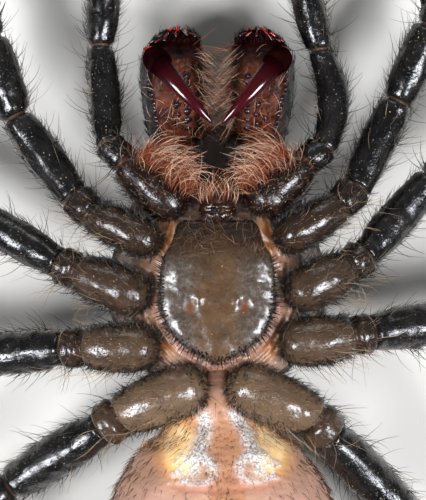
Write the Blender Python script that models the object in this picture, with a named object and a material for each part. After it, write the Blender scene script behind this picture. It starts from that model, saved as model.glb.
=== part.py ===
"""A trapdoor spider, life size, tipped on its back with its fangs bared.

Sizes are in millimetres here, and each mesh is made in metres. +Z is up, on the belly side, +Y runs
towards the fangs, and +X is the animal's left. The numbers here are measured from below the middle of
the sternum. The meshes are moved so that the origin is the flat of the carapace, on the floor.
"""

import math

import bmesh
import bpy
import numpy as np

MM = 0.001
GAP = 0.28  # kept between two pieces that meet
EYE_GAP = 0.12
REST_Y = 3.0  # a place on the carapace's flat, which becomes the origin
UP = np.array([0.0, 0.0, 1.0])
HEAD_DIP, ABDOMEN_DIP = 0.3, 0.07  # the two resting places dip this far under the floor, and are cut flat

# Heights above the floor of what the body is stacked from.
MARGIN_Z = 3.9  # the carapace's edge
DECK_Z = 4.55  # the flat that the coxae and the sternum are set on
STERNUM_Z = 7.36  # its crown
COXA_Z = 6.15
HIP_Z = 5.75  # where a trochanter ends and its femur starts

CARAPACE_FRONT_Y, CARAPACE_REAR_Y = 6.2, -4.7
STERNUM_FRONT_Y = 2.55
CHELICERA_LENGTH = 5.35
ABDOMEN_FRONT_Y = -5.8
ABDOMEN_YAW = math.radians(-2.0)  # it lies a little to the animal's left

LIMB_SIDES = 12
FOOT_SIDES = 10
rng = np.random.default_rng(7)


def unit(vector):
    """The vector at length one."""
    return vector / np.linalg.norm(vector)


def heading(azimuth, elevation):
    """The unit vector that points that way, in degrees from +X and above the floor."""
    a, e = math.radians(azimuth), math.radians(elevation)
    return np.array([math.cos(a) * math.cos(e), math.sin(a) * math.cos(e), math.sin(e)])


def material(name, hex_colour, roughness, coat=0.0):
    """A Principled BSDF of that sRGB colour."""
    made = bpy.data.materials.new(name)
    made.use_nodes = True
    shader = made.node_tree.nodes["Principled BSDF"]
    srgb = [int(hex_colour[i : i + 2], 16) / 255 for i in (0, 2, 4)]
    linear = [c / 12.92 if c <= 0.04045 else ((c + 0.055) / 1.055) ** 2.4 for c in srgb]
    shader.inputs["Base Color"].default_value = (*linear, 1.0)
    shader.inputs["Roughness"].default_value = roughness
    shader.inputs["Coat Weight"].default_value = coat
    made.diffuse_color = (*linear, 1.0)
    return made


def clear_scene():
    """Takes away whatever the startup scene holds."""
    for thing in list(bpy.data.objects):
        bpy.data.objects.remove(thing, do_unlink=True)


clear_scene()
LEG = material("leg cuticle", "2C2825", 0.25, 0.4)
COXA = material("coxa cuticle", "4A3E34", 0.25, 0.4)
SHELL = material("carapace cuticle", "2A221D", 0.3, 0.3)
PLATE = material("sternum cuticle", "5A4632", 0.3, 0.3)
JAW = material("chelicera cuticle", "231416", 0.3, 0.3)
FANG = material("fang", "4A0812", 0.12, 0.6)
RAKE = material("rake spines", "8C1414", 0.2, 0.5)
BROW = material("maxilla cuticle", "2E211C", 0.3, 0.3)
BELLY = material("abdomen skin", "A9785A", 0.65)
EYE = material("eye", "0B0A0C", 0.08, 1.0)
HAIR = material("mouth fringe", "8A5238", 0.6)


def closed_mesh(name, rings, finish, tip_first=False, tip_last=False):
    """One closed body through the rings, each a row of points. A tip is the ring's first point alone."""
    mesh = bpy.data.meshes.new(name)
    body = bmesh.new()
    made = []
    for number, ring in enumerate(rings):
        lone = (number == 0 and tip_first) or (number == len(rings) - 1 and tip_last)
        points = (np.array(ring[:1] if lone else ring) - [0.0, REST_Y, 0.0]) * MM
        points[:, 2] = np.maximum(points[:, 2], 0.0)
        made.append([body.verts.new(point) for point in points])
    for low, high in zip(made, made[1:]):
        count = max(len(low), len(high))
        for i in range(count):
            j = (i + 1) % count
            corners = [low[i % len(low)], low[j % len(low)], high[j % len(high)], high[i % len(high)]]
            body.faces.new(list(dict.fromkeys(corners)))
    for end in (made[0], made[-1]):
        if len(end) > 1:
            body.faces.new(end)
    bmesh.ops.recalc_face_normals(body, faces=body.faces)
    body.to_mesh(mesh)
    body.free()
    mesh.shade_smooth()
    mesh.set_sharp_from_angle(angle=math.radians(50))
    mesh.materials.append(finish)
    thing = bpy.data.objects.new(name, mesh)
    bpy.context.scene.collection.objects.link(thing)
    return thing


def keep_largest(thing):
    """Drops every closed surface of the object but the one with the most faces."""
    body = bmesh.new()
    body.from_mesh(thing.data)
    body.faces.ensure_lookup_table()
    shells, seen = [], set()
    for face in body.faces:
        if face in seen:
            continue
        shell, todo = [], [face]
        seen.add(face)
        while todo:
            here = todo.pop()
            shell.append(here)
            for edge in here.edges:
                for other in edge.link_faces:
                    if other not in seen:
                        seen.add(other)
                        todo.append(other)
        shells.append(shell)
    shells.sort(key=len)
    scraps = [face for shell in shells[:-1] for face in shell]
    bmesh.ops.delete(body, geom=scraps, context="FACES")
    body.to_mesh(thing.data)
    body.free()


def fuse(host, pieces):
    """Joins the pieces to the host with one Boolean union, and removes them."""
    if not pieces:
        return host
    group = bpy.data.collections.new(host.name + "_pieces")
    bpy.context.scene.collection.children.link(group)
    for piece in pieces:
        bpy.context.scene.collection.objects.unlink(piece)
        group.objects.link(piece)
    union = host.modifiers.new("union", "BOOLEAN")
    union.operation = "UNION"
    union.operand_type = "COLLECTION"
    union.collection = group
    union.solver = "MANIFOLD"
    bpy.context.view_layer.update()
    graph = bpy.context.evaluated_depsgraph_get()
    joined = bpy.data.meshes.new_from_object(host.evaluated_get(graph))
    host.modifiers.remove(union)
    host.data = joined
    for piece in pieces:
        bpy.data.objects.remove(piece, do_unlink=True)
    bpy.data.collections.remove(group)
    keep_largest(host)
    return host


def spine(root, along, length, radius, finish, lean=None, sink=0.2):
    """A tapered spine that stands on root, its foot sunk in its host. With a lean, it curls that way."""
    along = unit(along)
    side = unit(np.cross(along, [0.31, 0.77, 0.55]))
    other = np.cross(along, side)
    turns = np.arange(5) * 2 * math.pi / 5
    circle = np.outer(np.cos(turns), side) + np.outer(np.sin(turns), other)
    rings = [root - along * sink + circle * radius, [root + along * length]]
    if lean is not None:
        rings[1] = [root + along * length * 0.75 + unit(lean) * length * 0.3]
        rings.insert(1, root + along * length * 0.5 + unit(lean) * length * 0.07 + circle * radius * 0.62)
    return closed_mesh("spine", rings, finish, tip_last=True)


def lock(root, outward, sweep, length, width, thickness, finish, sink=0.25):
    """A flat, tapered lock of hair that leaves its root outward and bends over towards sweep."""
    outward, sweep = unit(outward), unit(sweep)
    across = unit(np.cross(outward, sweep))
    rings = []
    for share in (-sink / length, 0.3, 0.62, 1.0):
        bend = max(share, 0.0) ** 1.6
        centre = root + length * (outward * (share - 0.55 * bend) + sweep * 0.85 * bend)
        along = unit(outward * (1 - 0.8 * bend) + sweep * bend)
        flat = np.cross(across, along)
        taper = 1 - 0.9 * max(share, 0.0) ** 1.4
        wide, thick = across * width * taper / 2, flat * thickness * taper / 2
        rings.append(np.array([centre + wide, centre + thick, centre - wide, centre - thick]))
    return closed_mesh("lock", rings, finish, tip_last=True)


# Each profile is a limb segment's outline: rows of a share of its length, and of its full radius there.
TROCHANTER = ((0.0, 0.78), (0.3, 0.98), (0.75, 1.0), (1.0, 0.82))
FEMUR = ((0.0, 0.74), (0.1, 0.82), (0.3, 0.97), (0.55, 1.0), (0.8, 0.93), (0.93, 0.84), (1.0, 0.66))
PATELLA = ((0.0, 0.62), (0.12, 0.86), (0.4, 1.0), (0.75, 0.98), (0.92, 0.88), (1.0, 0.7))
TIBIA = ((0.0, 0.68), (0.12, 0.9), (0.4, 1.0), (0.75, 0.98), (0.93, 0.86), (1.0, 0.7))
METATARSUS = ((0.0, 0.74), (0.12, 0.94), (0.45, 1.0), (0.8, 0.88), (0.94, 0.82), (1.0, 0.7))
TARSUS = ((0.0, 0.74), (0.14, 0.98), (0.5, 1.0), (0.82, 0.84), (1.0, 0.5))
COXA_OUTLINE = ((0.0, 0.42), (0.05, 0.68), (0.16, 0.88), (0.36, 1.0), (0.62, 1.0), (0.84, 0.9), (1.0, 0.66))
MAXILLA_OUTLINE = ((0.0, 0.58), (0.06, 0.8), (0.18, 0.95), (0.4, 1.0), (0.66, 0.98), (0.86, 0.86),
                   (1.0, 0.66))


class Segment:
    """One segment of a limb: a bowed tube of oval section, cut square to the joint at each end."""

    def __init__(self, start, end, width, depth, profile, bow=0.0, sway=0.0):
        self.start, self.end = np.array(start, float), np.array(end, float)
        self.width, self.depth, self.profile = width / 2, depth / 2, profile
        self.bow, self.sway = bow, sway
        self.length = np.linalg.norm(self.end - self.start)
        self.along = (self.end - self.start) / self.length
        self.side = unit(np.cross(self.along, UP))
        self.belly = np.cross(self.side, self.along)
        self.cuts = [self.along, self.along]
        self.trims = [0.0, 0.0]

    def centre(self, share):
        """The centreline, bowed towards the back by bow and to the side by sway at its middle."""
        arch = 4 * share * (1 - share)
        straight = self.start + (self.end - self.start) * share
        shift = self.cuts[0] * self.trims[0] * (1 - share) ** 4 - self.cuts[1] * self.trims[1] * share**4
        return straight + shift - self.belly * self.bow * arch + self.side * self.sway * arch

    def outward(self, angle):
        """The way out of the tube at that angle, where 0 is the side and 90 the belly."""
        return self.side * math.cos(math.radians(angle)) + self.belly * math.sin(math.radians(angle))

    def radius(self, share):
        """The share of the full radius there."""
        return float(np.interp(share, *zip(*self.profile)))

    def surface(self, share, angle):
        """The point of the surface there."""
        a = math.radians(angle)
        oval = self.side * self.width * math.cos(a) + self.belly * self.depth * math.sin(a)
        return self.centre(share) + oval * self.radius(share)

    def ring(self, share, sides):
        """The points round the tube there. Near an end they lie in the plane of the joint's cut."""
        turns = (np.arange(sides) + 0.5) * 2 * math.pi / sides
        size = self.radius(share)
        oval = np.outer(np.cos(turns), self.side * self.width * size)
        oval += np.outer(np.sin(turns), self.belly * self.depth * size)
        near_start, near_end = max(0.0, 1 - share / 0.2), max(0.0, 1 - (1 - share) / 0.2)
        normal = self.cuts[0] * near_start + self.cuts[1] * near_end
        normal = unit(normal + self.along * (1 - near_start - near_end))
        slide = -(oval @ normal) / (self.along @ normal)
        return self.centre(share) + oval + np.outer(slide, self.along)

    def rings(self, sides, drop_last=False):
        """All its rings, by its profile."""
        shares = [share for share, _ in self.profile]
        return [self.ring(share, sides) for share in (shares[:-1] if drop_last else shares)]


def chain(segments):
    """Cuts neighbouring segments along the plane that halves their joint's angle."""
    for here, after in zip(segments, segments[1:]):
        plane = unit(here.along + after.along)
        here.cuts[1] = plane
        after.cuts[0] = plane
    return segments


def part_at(here, after):
    """Leaves the gap of two nodes at the joint between the segments."""
    here.trims[1] = after.trims[0] = GAP / 2


def limb_node(name, segments, finish, sides):
    """One node made of a few segments in a row."""
    rings = []
    for number, segment in enumerate(segments):
        rings += segment.rings(sides, drop_last=number < len(segments) - 1)
    return closed_mesh(name, rings, finish)


# The limbs: x and y of each joint and the knee's height, then the way their outer segments point.
# inner and outer: the coxa's ends; hip and knee: the femur's ends. A palp's coxa is the maxilla.
# The legs are spread and held clear of the floor, each joint bent a little further to the belly side.
FRONT_RISE, REAR_RISE, PALP_RISE = (2, 10, 20, 30), (4, 12, 24, 34), (2, 10, 20)
POSE = {
    "palp_right": dict(inner=(-1.7, 3.35), outer=(-4.2, 5.6), hip=(-5.0, 6.5), knee=(-5.4, 11.0, 4.6),
                       azimuth=(86, 84, 80), elevation=PALP_RISE),
    "palp_left": dict(inner=(1.65, 3.5), outer=(4.0, 5.6), hip=(4.85, 6.2), knee=(4.75, 10.8, 4.6),
                      azimuth=(104, 101, 98), elevation=PALP_RISE, sway=0.55),
    "leg1_right": dict(inner=(-2.65, 1.78), outer=(-5.75, 3.22), hip=(-6.55, 4.05), knee=(-9.3, 7.7, 5.0),
                       azimuth=(108, 109, 111, 113), elevation=FRONT_RISE),
    "leg1_left": dict(inner=(2.75, 1.9), outer=(5.55, 3.55), hip=(6.35, 4.45), knee=(8.3, 8.4, 5.0),
                      azimuth=(66, 64, 61, 58), elevation=FRONT_RISE),
    "leg2_right": dict(inner=(-3.15, -0.7), outer=(-6.4, 0.6), hip=(-7.2, 0.95), knee=(-11.4, 3.35, 4.7),
                       azimuth=(150, 151, 149, 146), elevation=FRONT_RISE),
    "leg2_left": dict(inner=(3.25, -0.6), outer=(6.0, 0.8), hip=(6.75, 1.3), knee=(9.85, 4.85, 4.7),
                      azimuth=(40, 38, 36, 33), elevation=FRONT_RISE),
    "leg3_right": dict(inner=(-2.7, -2.85), outer=(-6.1, -2.85), hip=(-7.0, -2.9), knee=(-11.5, -3.35, 4.3),
                       azimuth=(184, 187, 190, 194), elevation=REAR_RISE),
    "leg3_left": dict(inner=(2.9, -2.7), outer=(6.15, -2.35), hip=(7.0, -2.2), knee=(11.5, -1.6, 4.3),
                      azimuth=(6, 2, -3, -8), elevation=REAR_RISE),
    "leg4_right": dict(inner=(-0.6, -4.35), outer=(-4.45, -5.95), hip=(-5.2, -6.5), knee=(-9.6, -9.3, 3.9),
                       azimuth=(216, 220, 226, 232), elevation=REAR_RISE),
    "leg4_left": dict(inner=(0.6, -4.3), outer=(4.45, -6.05), hip=(5.1, -6.85), knee=(8.7, -10.6, 3.9),
                      azimuth=(-44, -40, -46, -52), elevation=REAR_RISE),
}

# Lengths of patella, tibia, metatarsus and tarsus, then the widths of coxa, trochanter, femur and those.
SIZES = {
    "palp": dict(lengths=(3.2, 3.5, 3.3), widths=(2.15, 1.45, 1.45, 1.5, 1.5, 1.25)),
    "leg1": dict(lengths=(3.8, 3.9, 3.1, 1.9), widths=(1.85, 1.65, 1.75, 1.8, 1.75, 1.4, 1.15)),
    "leg2": dict(lengths=(3.6, 3.5, 3.0, 1.9), widths=(2.2, 1.75, 1.75, 1.8, 1.7, 1.4, 1.15)),
    "leg3": dict(lengths=(3.5, 2.4, 3.0, 2.1), widths=(2.3, 1.85, 2.0, 2.0, 1.85, 1.45, 1.15)),
    "leg4": dict(lengths=(4.2, 4.6, 4.4, 2.2), widths=(2.45, 2.05, 2.05, 2.0, 1.85, 1.45, 1.15)),
}
DEPTH_TO_WIDTH = 1.1  # a limb is a little deeper than wide
COXA_DEPTH = 2 * (COXA_Z - DECK_Z - GAP)  # each coxa lies along the deck
COXA_RISE = 0.35  # a leg's coxa slopes up towards the sternum by this much
FEMUR_BOW, PATELLA_BOW = 0.3, 0.12


def outer_limb(pose, size):
    """The segments from the trochanter outwards."""
    widths = size["widths"]
    outer, hip = np.array([*pose["outer"], COXA_Z]), np.array([*pose["hip"], HIP_Z])
    knee = np.array(pose["knee"])
    segments = [
        Segment(outer, hip, widths[1], widths[1] * DEPTH_TO_WIDTH, TROCHANTER),
        Segment(hip, knee, widths[2], widths[2] * DEPTH_TO_WIDTH, FEMUR, FEMUR_BOW, pose.get("sway", 0.0)),
    ]
    profiles = (PATELLA, TIBIA, METATARSUS, TARSUS) if len(widths) > 6 else (PATELLA, TIBIA, TARSUS)
    start = knee
    rows = zip(size["lengths"], widths[3:], profiles, pose["azimuth"], pose["elevation"])
    for length, width, profile, azimuth, elevation in rows:
        end = start + heading(azimuth, elevation) * length
        bow = PATELLA_BOW if profile is PATELLA else 0.0
        segments.append(Segment(start, end, width, width * DEPTH_TO_WIDTH, profile, bow))
        start = end
    chain(segments)
    part_at(segments[1], segments[2])
    part_at(segments[3], segments[4])
    return segments


def digging_spines(segment, rows, count, length, radius):
    """Rows of short stout spines down a segment's sides, which the spider digs with."""
    spines = []
    for angle in rows:
        for number in range(count):
            share = 0.2 + 0.66 * (number + 0.5 * (angle > 90)) / count
            root = segment.surface(share, angle)
            out = segment.outward(angle + rng.uniform(-8, 8))
            spines.append(spine(root, out + segment.along, length, radius, LEG))
    return spines


def claws(segment, names):
    """The paired claws at the end of a tarsus, curling towards the belly side."""
    tip = segment.centre(1.0)
    made = []
    for turn in names:
        sideways = segment.side * turn
        root = tip + sideways * 0.17 - segment.along * 0.05
        along = segment.along + sideways * 0.35
        made.append(spine(root, along, 0.75, 0.25, LEG, segment.belly + segment.along * 0.4))
    return made


def build_limb(name):
    """One leg or palp, from its coxa out to its claws, as a few nodes."""
    kind = name.split("_")[0]
    pose, size = POSE[name], SIZES[kind]
    segments = outer_limb(pose, size)
    is_palp = kind == "palp"
    if not is_palp:
        inner = np.array([*pose["inner"], COXA_Z + COXA_RISE])
        outer = np.array([*pose["outer"], COXA_Z])
        coxa = Segment(inner, outer, size["widths"][0], COXA_DEPTH, COXA_OUTLINE)
        chain([coxa, segments[0]])
        part_at(coxa, segments[0])
        limb_node(name + "_coxa", [coxa], COXA, 14)
    else:
        segments[0].trims[0] = GAP / 2
    limb_node(name + "_thigh", segments[:2], LEG, LIMB_SIDES)
    shank = limb_node(name + "_shank", segments[2:4], LEG, LIMB_SIDES)
    foot = limb_node(name + ("_tarsus" if is_palp else "_foot"), segments[4:], LEG, FOOT_SIDES)
    ends = segments[4:]
    if kind in ("palp", "leg1", "leg2"):
        fuse(shank, digging_spines(segments[3], (12, 168), 4, 0.75, 0.25))
        spines = [s for end in ends for s in digging_spines(end, (10, 170), 4, 0.6, 0.25)]
    else:
        spines = [s for end in ends[:1] for s in digging_spines(end, (30, 150), 2, 0.6, 0.25)]
    fuse(foot, spines + claws(ends[-1], (0,) if is_palp else (-1, 1)))


def along_body(y, rows):
    """The value at y, read between rows of a y and a value there."""
    return float(np.interp(y, *zip(*rows)))


# Rows of a y and the carapace's half width there, or the height of its crest, which lies lowest here.
CARAPACE_WIDTHS = ((-4.7, 1.9), (-4.2, 3.0), (-3.0, 4.2), (-1.2, 4.95), (0.6, 5.0), (2.6, 4.4), (4.4, 3.7),
                   (6.2, 3.15))
CARAPACE_CREST = ((-4.7, 2.6), (-4.2, 2.1), (-3.0, 1.35), (-1.2, 0.95), (0.6, 0.6), (1.8, 0.1),
                  (2.5, -HEAD_DIP), (3.7, -HEAD_DIP), (4.5, 0.1), (5.4, 0.9), (6.2, 1.7))


def build_carapace():
    """The dorsal shield, which the spider lies on: a domed head region, a pit, and a flat inner deck."""
    rings = []
    turns = (np.arange(24) + 0.5) * 2 * math.pi / 24
    for y in (-4.7, -4.2, -3.2, -1.9, -1.1, -0.3, 0.6, 1.8, 2.5, 3.7, 4.5, 5.4, 6.2):
        wide, crest = along_body(y, CARAPACE_WIDTHS), along_body(y, CARAPACE_CREST)
        x = wide * np.sign(np.cos(turns)) * np.abs(np.cos(turns)) ** 0.85
        dome = (MARGIN_Z - crest) * np.clip(-np.sin(turns), 0, 1) ** 0.8
        deck = (DECK_Z - MARGIN_Z) * np.clip(np.sin(turns) * 3, 0, 1)
        z = MARGIN_Z - dome + deck
        x = np.where(np.sin(turns) > 0.1, x * 0.96, x)
        if -2.0 < y < 0.0:  # the pit where the stomach muscles are tied in
            pit = 0.35 if y == -1.1 else 0.1
            z = np.where((np.abs(x) < 1.6) & (np.sin(turns) < 0), z + pit, z)
        rings.append(np.column_stack([x, np.full(len(x), y), z]))
    closed_mesh("carapace", rings, SHELL)


# The eyes sit in two rows on the carapace's front slope: each has an x, a y and a radius.
EYES = {
    "front_side": (1.15, 5.75, 0.33),
    "front_middle": (0.4, 5.7, 0.27),
    "rear_side": (1.2, 5.0, 0.28),
    "rear_middle": (0.55, 4.95, 0.26),
}


def carapace_point(x, y):
    """The point of the carapace's dorsal dome over x and y."""
    wide, crest = along_body(y, CARAPACE_WIDTHS), along_body(y, CARAPACE_CREST)
    cosine = (abs(x) / wide) ** (1 / 0.85)
    return np.array([x, y, MARGIN_Z - (MARGIN_Z - crest) * math.sqrt(1 - cosine**2) ** 0.8])


def build_eyes():
    """Eight small domes, face to face with the carapace."""
    turns = np.arange(8) * math.pi / 4
    for name, (x, y, radius) in EYES.items():
        for side, sign in (("left", 1), ("right", -1)):
            root = carapace_point(sign * x, y)
            across = carapace_point(sign * x + 0.1, y) - carapace_point(sign * x - 0.1, y)
            ahead = carapace_point(sign * x, y + 0.1) - carapace_point(sign * x, y - 0.1)
            out = unit(np.cross(ahead, across))
            first = unit(across)
            second = np.cross(out, first)
            circle = np.outer(np.cos(turns), first) + np.outer(np.sin(turns), second)
            foot = root + out * EYE_GAP
            rings = [foot + circle * radius, foot + out * radius * 0.5 + circle * radius * 0.88]
            rings += [foot + out * radius * 0.85 + circle * radius * 0.5, [foot + out * radius]]
            closed_mesh(f"eye_{name}_{side}", rings, EYE, tip_last=True)


STERNUM_WIDTHS = ((-3.5, 0.25), (-3.2, 0.85), (-2.5, 1.85), (-1.6, 2.42), (-0.5, 2.66), (0.6, 2.6),
                  (1.8, 2.3), (2.2, 2.14), (2.55, 1.8))
SIGILLA = ((1.2, -1.05, 0.55), (2.15, 0.15, 0.3))  # x, y and reach of the muscle scars, in pairs
# The sternum's rings: how far each lies below its crown, and its share of the outline.
STERNUM_LEVELS = ((1.46, 0.9), (0.61, 0.99), (0.36, 1.0), (0.22, 0.96), (0.12, 0.82), (0.06, 0.62),
                  (0.02, 0.4), (0.0, 0.15))


def build_sternum():
    """The plate between the coxae: a low shield with two pairs of scars, on a stem down to the deck."""
    ys = (STERNUM_FRONT_Y, 2.2, 1.8, 0.9, 0.1, -0.7, -1.5, -2.2, -2.9, -3.3, -3.5)
    right = [(along_body(y, STERNUM_WIDTHS), y) for y in ys]
    outline = np.array(right + [(-x, y) for x, y in reversed(right)])
    middle = np.array([0.0, -0.35])
    rings = []
    for z, share in ((DECK_Z + GAP, 0.8), *((STERNUM_Z - drop, share) for drop, share in STERNUM_LEVELS)):
        points = middle + (outline - middle) * share
        heights = np.full(len(points), z)
        if z > STERNUM_Z - 0.25:
            for x, y, reach in SIGILLA:
                away = np.hypot(np.abs(points[:, 0]) - x, points[:, 1] - y)
                heights = heights - 0.22 * np.exp(-((away / reach) ** 2) * 1.5)
        rings.append(np.column_stack([points, heights]))
    closed_mesh("sternum", rings, PLATE)


LABIUM_WIDE, LABIUM_LONG = 0.8, 0.58  # half its width and length
# The labium's rings: a height, and the share of its outline there.
LABIUM_LEVELS = ((6.3, 0.9), (7.0, 1.0), (7.3, 0.85), (7.45, 0.5))


def build_labium():
    """The lower lip: a short domed lobe ahead of the sternum."""
    turns = np.arange(14) * 2 * math.pi / 14
    outline = np.column_stack([LABIUM_WIDE * np.cos(turns), LABIUM_LONG * np.sin(turns)])
    rings = []
    for z, share in ((DECK_Z + GAP, 0.6), *LABIUM_LEVELS):
        points = outline * share + [0.0, STERNUM_FRONT_Y + GAP + LABIUM_LONG]
        rings.append(np.column_stack([points, np.full(len(points), z)]))
    closed_mesh("labium", rings, BROW)


# Two rows of fringe locks: how far round the maxilla, the first and last share of its length, the count.
FRINGE_ROWS = ((28, 0.0, 0.86, 7), (62, 0.08, 0.78, 6))
FRINGE_LENGTH, FRINGE_WIDTH, FRINGE_THICK = 1.55, 0.6, 0.5


def build_maxilla(side, sign):
    """The palp's coxa, with the red fringe of hair that lines the mouth."""
    pose = POSE["palp_" + side]
    inner, outer = (np.array([*pose[end], COXA_Z]) for end in ("inner", "outer"))
    body = Segment(inner, outer, SIZES["palp"]["widths"][0], COXA_DEPTH, MAXILLA_OUTLINE)
    body.trims[1] = GAP / 2
    node = limb_node("maxilla_" + side, [body], BROW, 14)
    towards_mouth = unit(np.array([-sign * 0.55, 0.75, 0.1]))
    locks = []
    for row, (tilt, low, high, count) in enumerate(FRINGE_ROWS):
        for number in range(count):
            share = low + (high - low) * number / (count - 1)
            angle = tilt if body.side[1] > 0 else 180 - tilt
            root = body.surface(share, angle)
            sweep = towards_mouth + rng.uniform(-0.15, 0.15, 3)
            length = FRINGE_LENGTH - 0.35 * row + rng.uniform(-0.15, 0.15)
            outward = body.outward(angle) + UP * 0.25
            locks.append(lock(root, outward, sweep, length, FRINGE_WIDTH, FRINGE_THICK, HAIR))
    fuse(node, locks)


CHELICERA_ROWS = (
    # a share of the length, inner and outer x, lowest and highest z
    (0.0, 0.95, 3.05, 1.7, 4.5),
    (0.1, 0.8, 3.2, 1.45, 4.95),
    (0.28, 0.7, 3.42, 1.2, 5.55),
    (0.5, 0.7, 3.55, 1.1, 5.95),
    (0.68, 0.72, 3.56, 1.2, 6.05),
    (0.8, 0.76, 3.38, 1.4, 5.85),
    (0.9, 0.85, 3.0, 1.8, 5.3),
    (0.97, 1.05, 2.5, 2.4, 4.6),
    (1.0, 1.35, 2.05, 2.9, 4.0),
)
FANG_ROOT, FANG_TIP = np.array([2.6, 10.1, 6.45]), np.array([0.2, 7.35, 6.75])
FANG_WIDEST, FANG_TIP_RADIUS = 0.5, 0.06
SOCKET_RADII = (0.48, 0.7, 0.62)
FANG_AIM = unit(FANG_TIP - FANG_ROOT + [0.0, 0.0, 1.5])  # the way that the fang leaves its socket


FURROW_DEPTH = 0.3
RAKE_SHARE = 0.92  # of the chelicera's length
# The rake's angles round the jaw, from its outer side: on the rim and on the face.
RAKE_RIM, RAKE_FACE = (-8, -34, -60, -86, -112, -138, -164), (28, 64, 100, 136)
TOOTH_ANGLE, TOOTH_COUNT = 126, 6


def jaw_point(share, angle):
    """The point of the left chelicera's surface there, where 0 is its outer side and 90 the belly side."""
    shares, inners, outers, lows, highs = zip(*CHELICERA_ROWS)
    inner, outer, low, high = (np.interp(share, shares, row) for row in (inners, outers, lows, highs))
    a = math.radians(angle)
    x = (inner + outer) / 2 + (outer - inner) / 2 * math.copysign(abs(math.cos(a)) ** 0.9, math.cos(a))
    z = (low + high) / 2 + (high - low) / 2 * math.copysign(abs(math.sin(a)) ** 0.85, math.sin(a))
    if 60 < angle < 120 and share < 0.9:  # the furrow that the fang folds into
        z -= FURROW_DEPTH
    return np.array([x, CARAPACE_FRONT_Y + GAP + CHELICERA_LENGTH * share, z])


def mirrored(points, sign):
    """The points as they are on the left, or mirrored to the right."""
    return np.array(points) * [sign, 1, 1]


def jaw_spine(share, angle, along, length, finish, sign):
    """A stout spine rooted on the chelicera."""
    root = mirrored(jaw_point(share, angle), sign)
    return spine(root, mirrored(along, sign), length, 0.25, finish, sink=0.25)


def fang_socket(sign):
    """The short collar on the chelicera that carries the fang."""
    aim, root = mirrored(FANG_AIM, sign), mirrored(FANG_ROOT, sign)
    side = unit(np.cross(aim, UP))
    other = np.cross(side, aim)
    turns = np.arange(12) * math.pi / 6
    circle = np.outer(np.cos(turns), side) + np.outer(np.sin(turns), other)
    inside, face = root - aim * 1.0 - [0, 0, 1.0], root - aim * GAP
    places = (inside, (inside + face) / 2, face)
    rings = [place + circle * radius for place, radius in zip(places, SOCKET_RADII)]
    return closed_mesh("socket", rings, JAW)


def build_chelicera(side, sign):
    """The stout jaw: a furrow edged with teeth, the end set with the digging rake, the fang's socket."""
    sides = 16
    shares = [row[0] for row in CHELICERA_ROWS]
    rings = [[mirrored(jaw_point(share, i * 360 / sides), sign) for i in range(sides)] for share in shares]
    node = closed_mesh("chelicera_" + side, rings, JAW)
    pieces = [fang_socket(sign)]
    for angle in RAKE_RIM:
        along = (0.5 * math.cos(math.radians(angle)), 1.0, 0.15)
        pieces.append(jaw_spine(RAKE_SHARE, angle, along, 0.8, RAKE, sign))
    for angle in RAKE_FACE:  # a second row, on the belly side
        along = (0.4 * math.cos(math.radians(angle)), 0.8, 0.55)
        pieces.append(jaw_spine(RAKE_SHARE, angle, along, 0.65, RAKE, sign))
    for number in range(TOOTH_COUNT):  # along the furrow's inner edge
        pieces.append(jaw_spine(0.2 + 0.1 * number, TOOTH_ANGLE, (-0.15, 0.0, 1.0), 0.5, JAW, sign))
    fuse(node, pieces)


def build_fang(side, sign):
    """A curved, tapered fang that leaves its socket and bends back to the mouth."""
    bend = FANG_ROOT + FANG_AIM * 2.0 + [0.25, 0.15, 0.0]
    turns = np.arange(12) * math.pi / 6
    rings = []
    for share in (0.0, 0.12, 0.26, 0.42, 0.58, 0.74, 0.88, 1.0):
        centre = (1 - share) ** 2 * FANG_ROOT + 2 * share * (1 - share) * bend + share**2 * FANG_TIP
        along = unit(2 * (1 - share) * (bend - FANG_ROOT) + 2 * share * (FANG_TIP - bend))
        across = unit(np.cross(along, UP))
        other = np.cross(across, along)
        radius = FANG_WIDEST * (1 - share) ** 0.7 + FANG_TIP_RADIUS
        circle = np.outer(np.cos(turns), across * radius) + np.outer(np.sin(turns), other * radius * 0.85)
        rings.append([mirrored(p, sign) for p in centre + circle])
    closed_mesh("fang_" + side, rings, FANG)


ABDOMEN_ROWS = (
    # y, half width, lowest z and highest z
    (-5.8, 1.4, 3.0, 5.85),
    (-6.15, 1.75, 2.4, 6.1),
    (-6.8, 2.6, 1.6, 6.7),
    (-7.8, 3.8, 0.75, 7.3),
    (-9.2, 4.75, 0.15, 7.85),
    (-10.8, 5.35, -ABDOMEN_DIP, 8.4),
    (-12.6, 5.7, -ABDOMEN_DIP, 8.85),
    (-14.4, 5.6, -ABDOMEN_DIP, 8.95),
    (-16.2, 4.95, 0.1, 8.6),
    (-17.7, 3.9, 0.8, 7.9),
    (-18.8, 2.6, 1.9, 6.9),
    (-19.4, 1.4, 3.0, 5.9),
    (-19.6, 0.6, 3.8, 5.1),
)


LUNG_X, LUNG_Y, LUNG_HEIGHT = 2.0, -8.3, 0.18  # where the covers of the book lungs rise, and how far
ROUNDNESS = 0.92  # 1 makes the belly round, less makes it squarer


def turned(points):
    """Points of the abdomen, swung a little to the animal's left about the waist."""
    points = np.array(points, float)
    c, s = math.cos(ABDOMEN_YAW), math.sin(ABDOMEN_YAW)
    x, y = points[..., 0], points[..., 1] - ABDOMEN_FRONT_Y
    turned_x, turned_y = c * x + s * y, -s * x + c * y + ABDOMEN_FRONT_Y
    return np.stack([turned_x, turned_y, points[..., 2]], axis=-1)


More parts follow.
